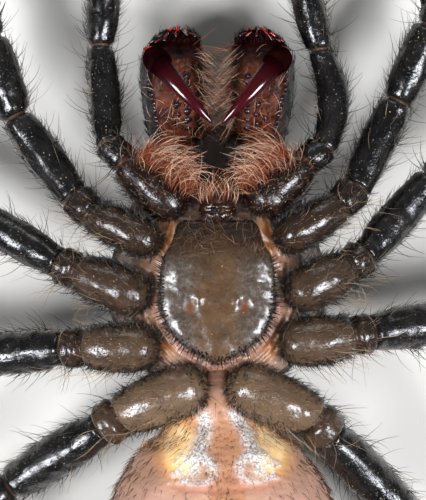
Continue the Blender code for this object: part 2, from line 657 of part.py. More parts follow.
def build_abdomen():
    """The plump abdomen, with the two pairs of book lung covers raised on its belly."""
    sides = 22
    turns = (np.arange(sides) + 0.5) * 2 * math.pi / sides
    rings = []
    for y, wide, low, high in ABDOMEN_ROWS:
        x = wide * np.cos(turns)
        z = (low + high) / 2 + (high - low) / 2 * np.sign(np.sin(turns)) * np.abs(np.sin(turns)) ** ROUNDNESS
        ring = np.column_stack([x, np.full(sides, y), z])
        lung = np.exp(-((np.abs(x) - LUNG_X) ** 2) / 0.9 - (y - LUNG_Y) ** 2 / 1.4) * (np.sin(turns) > 0)
        ring[:, 2] += LUNG_HEIGHT * lung
        rings.append(turned(ring))
    node = closed_mesh("abdomen", rings, BELLY)
    pieces = []
    for sign in (-1, 1):  # the short inner spinnerets
        root, out = abdomen_point(sign * 0.45, -18.1)
        reach = out * 0.7 + [0, -0.4, 0]
        pieces.append(taper("small_spinneret", root - out * 0.3, out, reach, (0.36, 0.34, 0.27), 8))
    fuse(node, pieces)


def abdomen_point(x, y):
    """The point of the abdomen's belly side over x and y, before it is swung, and the way out there."""
    def height(x, y):
        """The belly side's height there."""
        ys, wides, lows, highs = zip(*reversed(ABDOMEN_ROWS))
        wide, low, high = (np.interp(y, ys, row) for row in (wides, lows, highs))
        return (low + high) / 2 + (high - low) / 2 * (1 - (x / wide) ** 2) ** (ROUNDNESS / 2)

    step = 0.05
    slope_x = (height(x + step, y) - height(x - step, y)) / (2 * step)
    slope_y = (height(x, y + step) - height(x, y - step)) / (2 * step)
    return turned([x, y, height(x, y)]), unit(np.array([-slope_x, -slope_y, 1.0]))


def taper(name, start, square_to, reach, radii, sides):
    """A round tapered stub from start along reach, its first ring square to another direction."""
    shares = np.linspace(0, 1, len(radii))
    turns = np.arange(sides) * 2 * math.pi / sides
    rings = []
    for share, radius in zip(shares, radii):
        turn = min(1.0, 2 * share)
        along = unit(unit(np.array(square_to)) * (1 - turn) + unit(np.array(reach)) * turn)
        side = unit(np.cross(along, [1.0, 0.1, 0.0]))
        other = np.cross(along, side)
        circle = np.outer(np.cos(turns), side) + np.outer(np.sin(turns), other)
        rings.append(start + np.array(reach) * share + circle * radius)
    return closed_mesh(name, rings, BELLY)


def build_spinnerets():
    """The long outer spinnerets, stout and of three short joints, behind the abdomen's belly end."""
    for side, sign in (("left", 1), ("right", -1)):
        root, out = abdomen_point(sign * 1.25, -18.6)
        reach = unit(out + [sign * 0.25, -1.1, 0.35]) * 2.1
        taper("spinneret_" + side, root + out * GAP, out, reach, (0.48, 0.56, 0.5, 0.46, 0.5, 0.4, 0.25), 10)


# The waist's rings: a share of its length, half its width, its lowest and highest z.
WAIST_SHAPE = ((0.0, 0.45, 3.4, 5.4), (0.5, 0.75, 3.2, 5.6), (1.0, 1.05, 3.0, 5.75))
WAIST_SIDES = 16


def build_pedicel():
    """The waist, narrow and deep, which widens towards the abdomen."""
    front, rear = CARAPACE_REAR_Y - GAP, ABDOMEN_FRONT_Y + GAP
    turns = np.arange(WAIST_SIDES) * 2 * math.pi / WAIST_SIDES
    rings = []
    for share, wide, low, high in WAIST_SHAPE:
        z = (low + high) / 2 + (high - low) / 2 * np.sin(turns)
        y = np.full(WAIST_SIDES, front + (rear - front) * share)
        rings.append(np.column_stack([wide * np.cos(turns), y, z]))
    closed_mesh("pedicel", rings, BELLY)


build_carapace()
build_eyes()
build_sternum()
build_labium()
build_pedicel()
build_abdomen()
build_spinnerets()
for side, sign in (("left", 1), ("right", -1)):
    build_chelicera(side, sign)
    build_fang(side, sign)
    build_maxilla(side, sign)
for limb in POSE:
    build_limb(limb)
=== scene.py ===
"""A trapdoor spider, life size, tipped on its back with its fangs bared, in a plain studio.

Sizes are in millimetres, measured from below the middle of the sternum: +Y runs to the fangs, +X is the
animal's left, and +Z is up, on its belly side. Each mesh is moved by REST_Y and made in metres.
"""

import bpy
import numpy as np
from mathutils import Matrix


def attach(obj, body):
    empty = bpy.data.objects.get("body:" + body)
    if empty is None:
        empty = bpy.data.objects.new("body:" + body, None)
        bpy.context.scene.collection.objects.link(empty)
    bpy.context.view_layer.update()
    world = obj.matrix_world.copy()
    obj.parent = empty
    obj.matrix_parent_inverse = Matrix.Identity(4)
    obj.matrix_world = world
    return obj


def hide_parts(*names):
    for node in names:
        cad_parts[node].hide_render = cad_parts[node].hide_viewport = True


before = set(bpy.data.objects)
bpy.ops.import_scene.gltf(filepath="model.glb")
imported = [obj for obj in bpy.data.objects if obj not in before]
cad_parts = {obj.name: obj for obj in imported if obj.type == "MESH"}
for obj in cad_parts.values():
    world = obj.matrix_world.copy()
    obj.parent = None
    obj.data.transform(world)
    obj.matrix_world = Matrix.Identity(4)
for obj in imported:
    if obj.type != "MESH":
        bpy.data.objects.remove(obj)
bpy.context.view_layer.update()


# Carapace
# The shield over the back, which the spider lies on. It is hardened cuticle, a stiff brown sheet of
# chitin, raised over the head and creased towards a pit in its middle. Muscles hold it from inside.

MM = 0.001
REST_Y = 3.0
MARGIN_Z, DECK_Z = 3.9, 4.55
# How square the shell is from the side and from its ends: powers of a circle's cosine and sine.
SIDE_POWER, DOME_POWER = 0.85, 0.8
PIT_Y = -1.1
CARAPACE_WIDTHS = ((-4.7, 1.9), (-4.2, 3.0), (-3.0, 4.2), (-1.2, 4.95), (0.6, 5.0), (2.6, 4.4), (4.4, 3.7),
                   (6.2, 3.15))
CARAPACE_CREST = ((-4.7, 2.6), (-4.2, 2.1), (-3.0, 1.35), (-1.2, 0.95), (0.6, 0.6), (1.8, 0.1),
                  (2.5, -0.05), (3.7, -0.05), (4.5, 0.1), (5.4, 0.9), (6.2, 1.7))


def unit(vectors):
    """Each vector divided by its length."""
    length = np.linalg.norm(vectors, axis=-1, keepdims=True)
    return vectors / np.maximum(length, 1e-12)


def smooth_read(at, rows):
    """Reads between rows of a place and a value: a cubic on each stretch, whose slope at a row is the
    harmonic mean of the straight slopes on its two sides, or level where those differ in sign."""
    places, values = np.array(rows, float).T
    step = np.diff(places)
    slope = np.diff(values) / step
    product = slope[:-1] * slope[1:]
    total = np.where(product > 0, slope[:-1] + slope[1:], 1.0)
    inner = np.where(product > 0, 2 * product / total, 0.0)
    tangent = np.concatenate([slope[:1], inner, slope[-1:]])
    at = np.clip(at, places[0], places[-1])
    i = np.clip(np.searchsorted(places, at, side="right") - 1, 0, len(step) - 1)
    t = (at - places[i]) / step[i]
    held = (1 + 2 * t) * (1 - t) ** 2 * values[i] + t * t * (3 - 2 * t) * values[i + 1]
    return held + step[i] * (t * (1 - t) ** 2 * tangent[i] - t * t * (1 - t) * tangent[i + 1])


def ripple(points, size, seed):
    """A smooth random height from about -1 to 1: the sum of twelve sine waves that run in random
    directions, each about as long as the size."""
    draw = np.random.default_rng(seed)
    ways = unit(draw.normal(size=(12, 3))) * 2 * np.pi / size * draw.uniform(0.6, 1.5, (12, 1))
    return np.sin(points @ ways.T + draw.uniform(0, 2 * np.pi, 12)).sum(axis=-1) / 4


def mesh_object(name, points, corners, counts, finish, masks):
    """A smooth mesh from points in millimetres, every face's corners in one row, and each face's count."""
    mesh = bpy.data.meshes.new(name)
    mesh.vertices.add(len(points))
    metres = (points - [0.0, REST_Y, 0.0]) * MM
    metres[:, 2] = np.maximum(metres[:, 2], 0.0)
    mesh.vertices.foreach_set("co", metres.ravel())
    mesh.loops.add(len(corners))
    mesh.loops.foreach_set("vertex_index", corners)
    mesh.polygons.add(len(counts))
    mesh.polygons.foreach_set("loop_start", np.cumsum(counts) - counts)
    mesh.polygons.foreach_set("use_smooth", np.ones(len(counts), bool))
    for mask, values in masks.items():
        mesh.attributes.new(mask, "FLOAT", "POINT").data.foreach_set("value", values)
    mesh.update(calc_edges=True)
    mesh.materials.append(finish)
    thing = bpy.data.objects.new(name, mesh)
    bpy.context.scene.collection.objects.link(thing)
    return thing


def ring_skin(name, rings, finish, masks=None):
    """A closed skin over rows of rings of points. Quads join neighbouring rings, and a fan closes each
    end at its ring's middle. The faces are turned over if the volume they hold would be negative."""
    rows, columns = rings.shape[:2]
    points = np.concatenate([rings.reshape(-1, 3), rings[:1].mean(axis=1), rings[-1:].mean(axis=1)])
    here = np.arange(rows * columns).reshape(rows, columns)
    beside = np.roll(here, -1, axis=1)
    quads = np.stack([here[:-1], beside[:-1], beside[1:], here[1:]], axis=-1).reshape(-1, 4)
    first = np.stack([beside[0], here[0], np.full(columns, rows * columns)], axis=-1)
    last = np.stack([here[-1], beside[-1], np.full(columns, rows * columns + 1)], axis=-1)
    fans = np.concatenate([first, last])
    a, b, c, d = (points[quads[:, i]] for i in range(4))
    volume = (np.cross(a, b) * c).sum() + (np.cross(a, c) * d).sum()
    a, b, c = (points[fans[:, i]] for i in range(3))
    if volume + (np.cross(a, b) * c).sum() < 0:
        quads, fans = quads[:, ::-1], fans[:, ::-1]
    corners = np.concatenate([quads.ravel(), fans.ravel()])
    counts = np.concatenate([np.full(len(quads), 4), np.full(len(fans), 3)])
    spread = {}
    for mask, values in (masks or {}).items():
        values = np.broadcast_to(values, (rows, columns))
        spread[mask] = np.concatenate([values.ravel(), values[:1].mean(axis=1), values[-1:].mean(axis=1)])
    return mesh_object(name, points, corners, counts, finish, spread)


def fit(piece, finish_slot, *nodes):
    """The piece goes with the body and stands for those solids, which it hides; finish_slot is not used."""
    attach(piece, "root")
    if nodes:
        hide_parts(*nodes)


def linear(hex_colour):
    """An sRGB hex colour as linear red, green, blue and alpha."""
    srgb = np.array([int(hex_colour[i : i + 2], 16) for i in (0, 2, 4)]) / 255
    return (*np.where(srgb <= 0.04045, srgb / 12.92, ((srgb + 0.055) / 1.055) ** 2.4), 1.0)


def add_node(tree, kind, inputs, output=None, **settings):
    """Adds a node with its settings, and gives each input a value or links it to another node's output.
    Gives back the output of that name, or else the first one in use."""
    node = tree.nodes.new("ShaderNode" + kind)
    for key, value in settings.items():
        setattr(node, key, value)
    for key, value in inputs.items():
        if isinstance(value, bpy.types.NodeSocket):
            tree.links.new(value, node.inputs[key])
        else:
            node.inputs[key].default_value = value
    return node.outputs[output] if output else next(socket for socket in node.outputs if socket.enabled)


def new_finish(name, coat, coat_roughness, subsurface=0.0, sheen=0.0, gloss=0.5):
    """An empty material with its shader, whose even settings are put on the shader's own sockets."""
    finish = bpy.data.materials.new(name)
    finish.use_nodes = True
    shader = finish.node_tree.nodes["Principled BSDF"]
    shader.inputs["IOR"].default_value = 1.56  # chitin
    shader.inputs["Specular IOR Level"].default_value = gloss
    shader.inputs["Coat Weight"].default_value = coat
    shader.inputs["Coat Roughness"].default_value = coat_roughness
    shader.inputs["Subsurface Weight"].default_value = subsurface
    shader.inputs["Subsurface Radius"].default_value = (1.0, 0.45, 0.25)
    shader.inputs["Subsurface Scale"].default_value = 0.3 * MM
    shader.inputs["Sheen Weight"].default_value = sheen
    return finish, finish.node_tree, shader


def hard_cuticle(name, deep, bright, soft, mottle, glint, bump, coat=0.2, coat_roughness=0.12,
                 dullness=(0.24, 0.4)):
    """Hardened spider cuticle, grown in layers and polished by use. Seen close it is mottled in blotches
    about as wide as mottle, pitted by hair sockets 0.13 mm apart, and grained like fine leather, so that a
    highlight breaks up at its edges. At a few of the sockets, as many as glint says, a golden glint is
    painted: a painted highlight. Where the masks say so it is the soft skin of a joint, or the paler
    cuticle of a coxa."""
    finish, tree, shader = new_finish(name, coat, coat_roughness, gloss=0.35)
    place = add_node(tree, "TexCoord", {}, "Object")
    blotch = add_node(tree, "TexNoise", {"Vector": place, "Scale": 1 / (mottle * MM), "Detail": 4.0,
                                         "Roughness": 0.6})
    share = add_node(tree, "MapRange", {"Value": blotch, "From Min": 0.35, "From Max": 0.68})
    colour = add_node(tree, "Mix", {0: share, 6: linear(deep), 7: linear(bright)}, data_type="RGBA")
    tone = add_node(tree, "Attribute", {}, "Fac", attribute_name="tone")
    low = add_node(tree, "MapRange", {"Value": tone, "From Max": 0.25})
    high = add_node(tree, "MapRange", {"Value": tone, "From Min": 0.25})
    browned = add_node(tree, "Mix", {0: low, 6: colour, 7: linear("2F2118")}, data_type="RGBA")
    paled = add_node(tree, "Mix", {0: high, 6: browned, 7: linear("69533F")}, data_type="RGBA")
    shade = add_node(tree, "Mix", {0: share, 6: linear("D0D0D0"), 7: linear("FFFFFF")}, data_type="RGBA")
    toned = add_node(tree, "Mix", {0: 1.0, 6: paled, 7: shade}, data_type="RGBA", blend_type="MULTIPLY")
    socket = add_node(tree, "TexVoronoi", {"Vector": place, "Scale": 1 / (0.13 * MM), "Randomness": 0.9})
    hole = add_node(tree, "MapRange", {"Value": socket, "From Min": 0.1, "From Max": 0.3})
    faint = add_node(tree, "MapRange", {"Value": hole, "To Min": 0.6})
    pitted = add_node(tree, "Mix", {0: faint, 6: linear("120D0B"), 7: toned}, data_type="RGBA")
    dark_pit = add_node(tree, "MapRange", {"Value": hole, "To Max": 0.35})
    tree.links.new(dark_pit, shader.inputs["Specular IOR Level"])
    # Painted glints: a golden highlight is painted on a few sockets, where a socket would catch the light.
    lots = add_node(tree, "SeparateColor", {"Color": socket.node.outputs["Color"]})
    rare = add_node(tree, "MapRange", {"Value": lots, "From Min": 1 - glint, "From Max": 1.01 - glint})
    lit = add_node(tree, "MapRange", {"Value": socket, "From Min": 0.3, "From Max": 0.16})
    socket_glint = add_node(tree, "Math", {0: rare, 1: lit}, operation="MULTIPLY")
    golden = add_node(tree, "Mix", {0: socket_glint, 6: pitted, 7: linear("94744A")}, data_type="RGBA")
    joint = add_node(tree, "Attribute", {}, "Fac", attribute_name="membrane")
    skin = add_node(tree, "Mix", {0: joint, 6: golden, 7: linear(soft)}, data_type="RGBA")
    tree.links.new(skin, shader.inputs["Base Color"])
    grain = add_node(tree, "TexNoise", {"Vector": place, "Scale": 1 / (0.14 * MM), "Detail": 3.0,
                                        "Roughness": 0.65})
    dull = add_node(tree, "MapRange", {"Value": blotch, "From Min": 0.3, "From Max": 0.7,
                                       "To Min": dullness[0], "To Max": dullness[1]})
    tree.links.new(dull, shader.inputs["Roughness"])
    height = add_node(tree, "Math", {0: hole, 1: 0.7, 2: grain}, operation="MULTIPLY_ADD")
    relief = add_node(tree, "Bump", {"Height": height, "Strength": 1.0, "Distance": bump * MM})
    tree.links.new(relief, shader.inputs["Normal"])
    tree.links.new(relief, shader.inputs["Coat Normal"])
    return finish


carapace_cuticle = hard_cuticle("carapace_cuticle", "1E1712", "3A2A1E", "6B4A33", 1.4, 0.02, 0.012)

across = np.arange(144) * 2 * np.pi / 144
# The rings stand closer together where the shell closes at its rear and front.
along_y = np.concatenate([np.linspace(-4.7, -4.2, 12)[:-1], np.linspace(-4.2, 5.4, 90),
                          np.linspace(5.4, 6.2, 14)[1:]])
half_width = smooth_read(along_y, CARAPACE_WIDTHS)[:, None]
crest = smooth_read(along_y, CARAPACE_CREST)[:, None]
shell_x = half_width * np.sign(np.cos(across)) * np.abs(np.cos(across)) ** SIDE_POWER
shell_x = np.where(np.sin(across) > 0.1, shell_x * 0.96, shell_x)
shell_y = np.broadcast_to(along_y[:, None], shell_x.shape)
down_share = np.clip(-np.sin(across), 0, 1) ** DOME_POWER
lid = (DECK_Z - MARGIN_Z) * np.clip(np.sin(across) * 3, 0, 1)
shell_z = MARGIN_Z - (MARGIN_Z - crest) * down_share + lid
# The creases run out from the pit between the bundles of muscle, and fade before the margin.
behind_pit = shell_y - PIT_Y
from_pit = np.hypot(shell_x, behind_pit * 0.9)
turn = np.arctan2(shell_x, behind_pit)
crease = np.clip(np.cos(turn * 8), 0, 1) ** 6 * np.exp(-((from_pit - 2.2) / 1.4) ** 2) * (shell_y < 2.2)
pit = np.exp(-(shell_x / 1.1) ** 2 - ((behind_pit + 0.12 * shell_x**2) / 0.28) ** 2)
rim = np.clip(1 - np.abs(np.sin(across)) / 0.12, 0, 1)
shell_z = shell_z + down_share * (0.13 * crease + 0.4 * pit) - 0.05 * rim * (np.sin(across) < 0)
shell = np.stack([shell_x, shell_y, shell_z], axis=-1)
shell[..., 2] += 0.02 * down_share * ripple(shell, 0.7, 3)
shield = ring_skin("carapace_shield", shell, carapace_cuticle, {"membrane": 0.0, "tone": 0.0})
fit(shield, "carapace cuticle", "carapace")


# Eyes
# Eight clear lenses of cuticle, each thick in its middle, in two rows on the front of the head. Each is
# set in a dark rim that stands up from the carapace.

# Each one's x, y and radius.
EYES = {"front_side": (1.15, 5.75, 0.33), "front_middle": (0.4, 5.7, 0.27), "rear_side": (1.2, 5.0, 0.28),
        "rear_middle": (0.55, 4.95, 0.26)}
# Rows of height and reach, in radii, from the sunken foot over the dark rim and up the lens.
LENS_ROWS = np.array(((-0.5, 1.1), (0.0, 1.18), (0.22, 1.12), (0.32, 1.0), (0.3, 0.9), (0.42, 0.84),
                      (0.62, 0.7), (0.78, 0.5), (0.87, 0.3), (0.91, 0.1)))

eye_lens, tree, shader = new_finish("eye_lens", 1.0, 0.02)
shader.inputs["Roughness"].default_value = 0.06
ring_mask = add_node(tree, "Attribute", {}, "Fac", attribute_name="rim")
depth_noise = add_node(tree, "TexNoise", {"Vector": add_node(tree, "TexCoord", {}, "Object"),
                                          "Scale": 1 / (0.2 * MM)})
cloud = add_node(tree, "Mix", {0: depth_noise, 6: linear("2A1A12"), 7: linear("0C0A10")}, data_type="RGBA")
lens_colour = add_node(tree, "Mix", {0: ring_mask, 6: cloud, 7: linear("120E0C")}, data_type="RGBA")
tree.links.new(lens_colour, shader.inputs["Base Color"])


def shell_height(x, y):
    """The height of the carapace's dome over x and y."""
    wide, low = smooth_read(y, CARAPACE_WIDTHS), smooth_read(y, CARAPACE_CREST)
    cosine = (np.abs(x) / wide) ** (1 / SIDE_POWER)
    return MARGIN_Z - (MARGIN_Z - low) * np.sqrt(1 - cosine**2) ** DOME_POWER


turns = np.arange(32) * 2 * np.pi / 32
section = np.column_stack([smooth_read(np.linspace(0, 9, 28), list(enumerate(column)))
                           for column in LENS_ROWS.T])
step = 0.1
for eye_name, (eye_x, eye_y, radius) in EYES.items():
    for side, sign in (("left", 1), ("right", -1)):
        x = sign * eye_x
        root = np.array([x, eye_y, shell_height(x, eye_y)])
        slope_x = (shell_height(x + step, eye_y) - shell_height(x - step, eye_y)) / (2 * step)
        slope_y = (shell_height(x, eye_y + step) - shell_height(x, eye_y - step)) / (2 * step)
        out = unit(np.array([slope_x, slope_y, -1.0]))
        first = unit(np.cross(out, [0.0, 1.0, 0.0]))
        second = np.cross(out, first)
        circle = np.cos(turns)[:, None] * first + np.sin(turns)[:, None] * second
        lens = root + out * section[:, :1, None] * radius + circle * section[:, 1:, None] * radius * 0.94
        eye = ring_skin(f"eye_{eye_name}_{side}_lens", lens, eye_lens,
                        {"rim": (section[:, :1] < 0.36).astype(float)})
        fit(eye, "eye", f"eye_{eye_name}_{side}")


# Body wall
# The soft skin between the coxae, the sternum and the carapace's edge. It is thin, tough and folded, so
# that the legs can move, orange where it is stretched and pink where it bulges round the sternum.

# The height of the soft skin by the carapace's edge, and how far it climbs towards the sternum.
WALL_RIM_Z, WALL_CLIMB = 4.45, 1.95
STERNUM_Z = 7.36
STERNUM_MIDDLE = np.array([0.0, -0.35])
STERNUM_WIDTHS = ((-3.5, 0.25), (-3.2, 0.85), (-2.5, 1.85), (-1.6, 2.42), (-0.5, 2.66), (0.6, 2.6),
                  (1.3, 2.46), (1.8, 2.16), (2.3, 1.98), (2.7, 1.86), (2.95, 1.6))

body_wall, tree, shader = new_finish("body_wall_skin", 0.35, 0.25, subsurface=0.15)
place = add_node(tree, "TexCoord", {}, "Object")
masks = {key: add_node(tree, "Attribute", {}, "Fac", attribute_name=key) for key in ("stretched", "fold",
                                                                                     "hollow")}
patches = add_node(tree, "TexNoise", {"Vector": place, "Scale": 1 / (0.9 * MM), "Detail": 3.0})
part = add_node(tree, "MapRange", {"Value": patches, "From Min": 0.38, "From Max": 0.62})
slack = add_node(tree, "Mix", {0: part, 6: linear("85614A"), 7: linear("AC8468")}, data_type="RGBA")
colour = slack
# It is amber where it is stretched and pink on its folds, and it is painted near-black in the mouth as
# shade.
for key, over in (("stretched", "965A26"), ("fold", "92685A"), ("hollow", "120A08")):
    colour = add_node(tree, "Mix", {0: masks[key], 6: colour, 7: linear(over)}, data_type="RGBA")
tree.links.new(colour, shader.inputs["Base Color"])
dry = add_node(tree, "MapRange", {"Value": masks["hollow"], "To Min": 0.4, "To Max": 0.75})
tree.links.new(dry, shader.inputs["Roughness"])
film = add_node(tree, "MapRange", {"Value": masks["hollow"], "To Min": 0.35, "To Max": 0.0})
tree.links.new(film, shader.inputs["Coat Weight"])
creases = add_node(tree, "TexNoise", {"Vector": place, "Scale": 1 / (0.14 * MM), "Detail": 3.0,
                                      "Distortion": 0.6})
relief = add_node(tree, "Bump", {"Height": creases, "Strength": 1.0, "Distance": 0.03 * MM})
tree.links.new(relief, shader.inputs["Normal"])


def reach_of(widths, turns):
    """How far an outline reaches from the sternum's middle each way: its edge, given as rows of y and a
    half width, is walked in fine steps, turned into angles and distances, and read between them."""
    ys = np.linspace(widths[0][0], widths[-1][0], 400)
    right = np.column_stack([smooth_read(ys, widths), ys])
    front = np.column_stack([np.linspace(right[-1, 0], -right[-1, 0], 60)[1:-1], np.full(58, ys[-1])])
    left = right[::-1] * [-1, 1]
    rear = np.column_stack([np.linspace(left[-1, 0], right[0, 0], 20)[1:-1], np.full(18, ys[0])])
    edge = np.concatenate([right, front, left, rear]) - STERNUM_MIDDLE
    return np.interp(turns, np.arctan2(edge[:, 1], edge[:, 0]), np.hypot(*edge.T), period=2 * np.pi)


round_body = np.arange(260) * 2 * np.pi / 260
sternum_reach = reach_of(STERNUM_WIDTHS, round_body)
edge_reach = reach_of(CARAPACE_WIDTHS, round_body) * 0.965
under = np.linspace(0.55, 1.0, 6)[:-1, None] * sternum_reach
beyond = sternum_reach + np.linspace(0, 1, 56)[:, None] ** 1.25 * (edge_reach - sternum_reach)
reach = np.concatenate([under, beyond])
wall_x = STERNUM_MIDDLE[0] + reach * np.cos(round_body)
wall_y = STERNUM_MIDDLE[1] + reach * np.sin(round_body)
outside = reach - sternum_reach  # how far past the sternum's edge
inset = edge_reach - reach
ahead = np.clip((wall_y - 2.6) / 2.0, 0, 1)
rise = 1 - np.exp(-((inset / (0.75 + 1.3 * ahead - 0.58 * np.clip((-2.6 - wall_y) / 1.6, 0, 1))) ** 1.6))
throat_dip = np.clip((wall_y - 4.4) / 1.0, 0, 1)
wall_z = WALL_RIM_Z + WALL_CLIMB * rise - 0.9 * throat_dip * np.clip(1 - np.abs(wall_x) / 1.2, 0, 1) ** 0.5
behind = np.clip((-0.2 - wall_y) / 1.2, 0, 1)
uneven = 0.7 + 0.5 * np.sin(round_body * 9) * np.sin(round_body * 5)
fold_height = np.exp(-(((outside - 0.22) / 0.22) ** 2)) * behind * uneven
folds = 0.5 + 0.5 * np.sin(outside * 2 * np.pi / 0.33 + 0.8 * np.sin(round_body * 7))
beside = 0.3 * np.exp(-((outside / 0.4) ** 2)) * (1 - ahead)
wall_z = wall_z + beside + 0.3 * fold_height + 0.1 * folds * (outside > 0.3) * rise * (0.25 + 0.75 * behind)
wall = np.stack([wall_x, wall_y, wall_z], axis=-1)
wall[..., 2] += 0.05 * ripple(wall, 0.5, 5) + 0.07 * fold_height * ripple(wall, 0.22, 6)
floor_of_wall = np.stack([wall_x[-1] * 0.9, wall_y[-1] * 0.9, np.full(len(round_body), 4.2)], axis=-1)[None]
closing = np.concatenate([floor_of_wall, floor_of_wall * [0.2, 0.2, 1.0]])
# Painted shade: the skin ahead of the sternum, under the lip and jaws and in the mouth, is painted
# near-black.
mouth_shade_paint = np.clip((wall_y - 2.6) / 0.25, 0, 0.85) * np.clip((1.95 - np.abs(wall_x)) / 0.3, 0, 1)
mouth_shade_paint = np.maximum(mouth_shade_paint, np.clip((wall_y - 4.2) / 0.5, 0, 1))
# It is stretched at the corners between maxilla and first coxa, behind the third coxa, and at the rear.
amber_patches = np.zeros_like(wall_x)
for at_x, at_y, wide, long in ((2.3, 2.2, 0.45, 0.95), (1.2, 3.1, 0.25, 0.2), (2.4, -2.8, 0.4, 0.4),
                               (0.0, -4.3, 0.6, 0.5)):
    amber_patches += np.exp(-(((np.abs(wall_x) - at_x) / wide) ** 2) - ((wall_y - at_y) / long) ** 2)
wall_masks = {"fold": fold_height * np.clip(np.abs(wall_x) / 0.7, 0.3, 1), "hollow": mouth_shade_paint,
              "stretched": np.clip(amber_patches, 0, 1)}
wall_masks = {key: np.concatenate([value, value[-1:], value[-1:]]) for key, value in wall_masks.items()}
fit(ring_skin("body_wall", np.concatenate([wall, closing]), body_wall, wall_masks), "sternum cuticle")


# Sternum
# The plate on the belly between the legs, low and shield-shaped, of brown cuticle. Muscles tied to it
# from inside leave pairs of oval scars.

# How far the plate lies below its crown at each share of its outline, and how low its hidden foot is.
STERNUM_LEVELS = ((0.0, 0.0), (0.4, 0.02), (0.62, 0.06), (0.82, 0.12), (0.96, 0.24), (1.0, 0.38))
SKIRT_ROWS = np.array(((0.995, 0.6), (0.97, 0.9), (0.9, 1.3), (0.82, 1.46), (0.4, 1.6)))
# Each pair's x, y, half width, half length and depth.
SCARS = ((1.24, -1.02, 0.32, 0.4, 0.12), (2.12, 0.2, 0.3, 0.14, 0.02))

sternum_cuticle, tree, shader = new_finish("sternum_cuticle", 0.0, 0.16)
place = add_node(tree, "TexCoord", {}, "Object")
masks = {key: add_node(tree, "Attribute", {}, "Fac", attribute_name=key) for key in ("sides", "scar",
                                                                                     "front")}
cloud = add_node(tree, "TexNoise", {"Vector": place, "Scale": 1 / (1.1 * MM), "Detail": 4.0})
part = add_node(tree, "MapRange", {"Value": cloud, "From Min": 0.35, "From Max": 0.65})
middle_brown = add_node(tree, "Mix", {0: part, 6: linear("3E2C1B"), 7: linear("543C26")}, data_type="RGBA")
# The sides are mottled grey-brown. Part of that is their own colour and part is a painted sheen: they are
# made greyer than the middle to stand in for their lustre.
speckle = add_node(tree, "TexNoise", {"Vector": place, "Scale": 1 / (0.18 * MM), "Detail": 4.0,
                                      "Roughness": 0.7})
broken = add_node(tree, "MapRange", {"Value": speckle, "From Min": 0.4, "From Max": 0.62})
silver = add_node(tree, "Mix", {0: broken, 6: linear("3C322A"), 7: linear("50463D")}, data_type="RGBA")
# Painted glints: pale golden specks are painted at a few hair sockets, a painted highlight where they would
# catch the light.
socket = add_node(tree, "TexVoronoi", {"Vector": place, "Scale": 1 / (0.24 * MM)})
lots = add_node(tree, "SeparateColor", {"Color": socket.node.outputs["Color"]})
rare = add_node(tree, "MapRange", {"Value": lots, "From Min": 0.86, "From Max": 0.87})
near = add_node(tree, "MapRange", {"Value": socket, "From Min": 0.13, "From Max": 0.07})
socket_glint = add_node(tree, "Math", {0: rare, 1: near}, operation="MULTIPLY")
colour = middle_brown
for mask, over in ((masks["sides"], silver), (masks["scar"], linear("5E3015")),
                   (masks["front"], linear("1E1611")), (socket_glint, linear("C09A62"))):
    colour = add_node(tree, "Mix", {0: mask, 6: colour, 7: over}, data_type="RGBA")
tree.links.new(colour, shader.inputs["Base Color"])
dull = add_node(tree, "MapRange", {"Value": speckle, "From Min": 0.35, "From Max": 0.65, "To Min": 0.2,
                                   "To Max": 0.3})
scar_dull = add_node(tree, "Math", {0: masks["scar"], 1: 0.45, 2: dull}, operation="MULTIPLY_ADD")
tree.links.new(scar_dull, shader.inputs["Roughness"])
scar_gloss = add_node(tree, "MapRange", {"Value": masks["scar"], "To Min": 0.5, "To Max": 0.0})
tree.links.new(scar_gloss, shader.inputs["Specular IOR Level"])
relief = add_node(tree, "Bump", {"Height": speckle, "Strength": 1.0, "Distance": 0.009 * MM})
tree.links.new(relief, shader.inputs["Normal"])

share = np.concatenate([np.linspace(0.02, 0.9, 62), np.linspace(0.91, 1.0, 14)])
plate_share = np.broadcast_to(share[:, None], (len(share), len(round_body)))
plate_x = STERNUM_MIDDLE[0] + plate_share * sternum_reach * np.cos(round_body)
plate_y = STERNUM_MIDDLE[1] + plate_share * sternum_reach * np.sin(round_body)
plate_z = STERNUM_Z - smooth_read(plate_share, STERNUM_LEVELS)
scar = np.zeros_like(plate_z)
for scar_x, scar_y, wide, long, deep in SCARS:
    away = np.hypot((np.abs(plate_x) - scar_x) / wide, (plate_y - scar_y) / long)
    scar += np.exp(-(away**2) * 1.1) * (deep / 0.2)
    plate_z = plate_z - deep * np.exp(-(away**2.6))
    knob = (((np.abs(plate_x) - scar_x + 1.2 * wide) / 0.22) ** 2
            + ((plate_y - scar_y - 0.8 * long) / 0.26) ** 2)
    plate_z = plate_z + deep * 0.6 * np.exp(-knob)
sink = 0.25 * np.clip((plate_y - 1.2) / 1.4, 0, 1) ** 1.5
swell = 0.13 * np.exp(-((np.abs(plate_x) - 1.8) / 0.75) ** 2 - ((plate_y - 1.0) / 0.75) ** 2)
swell += 0.06 * np.exp(-((np.abs(plate_x) - 1.75) / 0.6) ** 2 - ((plate_y + 2.0) / 0.6) ** 2)
plate_z = plate_z - sink + swell
plate = np.stack([plate_x, plate_y, plate_z], axis=-1)
plate[..., 2] += 0.016 * ripple(plate, 0.8, 8) + 0.003 * ripple(plate, 0.22, 9)
skirt_share = SKIRT_ROWS[:, 0, None, None]
skirt_z = STERNUM_Z - SKIRT_ROWS[:, 1:]
skirt_xy = STERNUM_MIDDLE + skirt_share * (plate[-1, :, :2] - STERNUM_MIDDLE)
skirt = np.concatenate([skirt_xy, np.broadcast_to(skirt_z[..., None], (*skirt_xy.shape[:2], 1))], axis=-1)
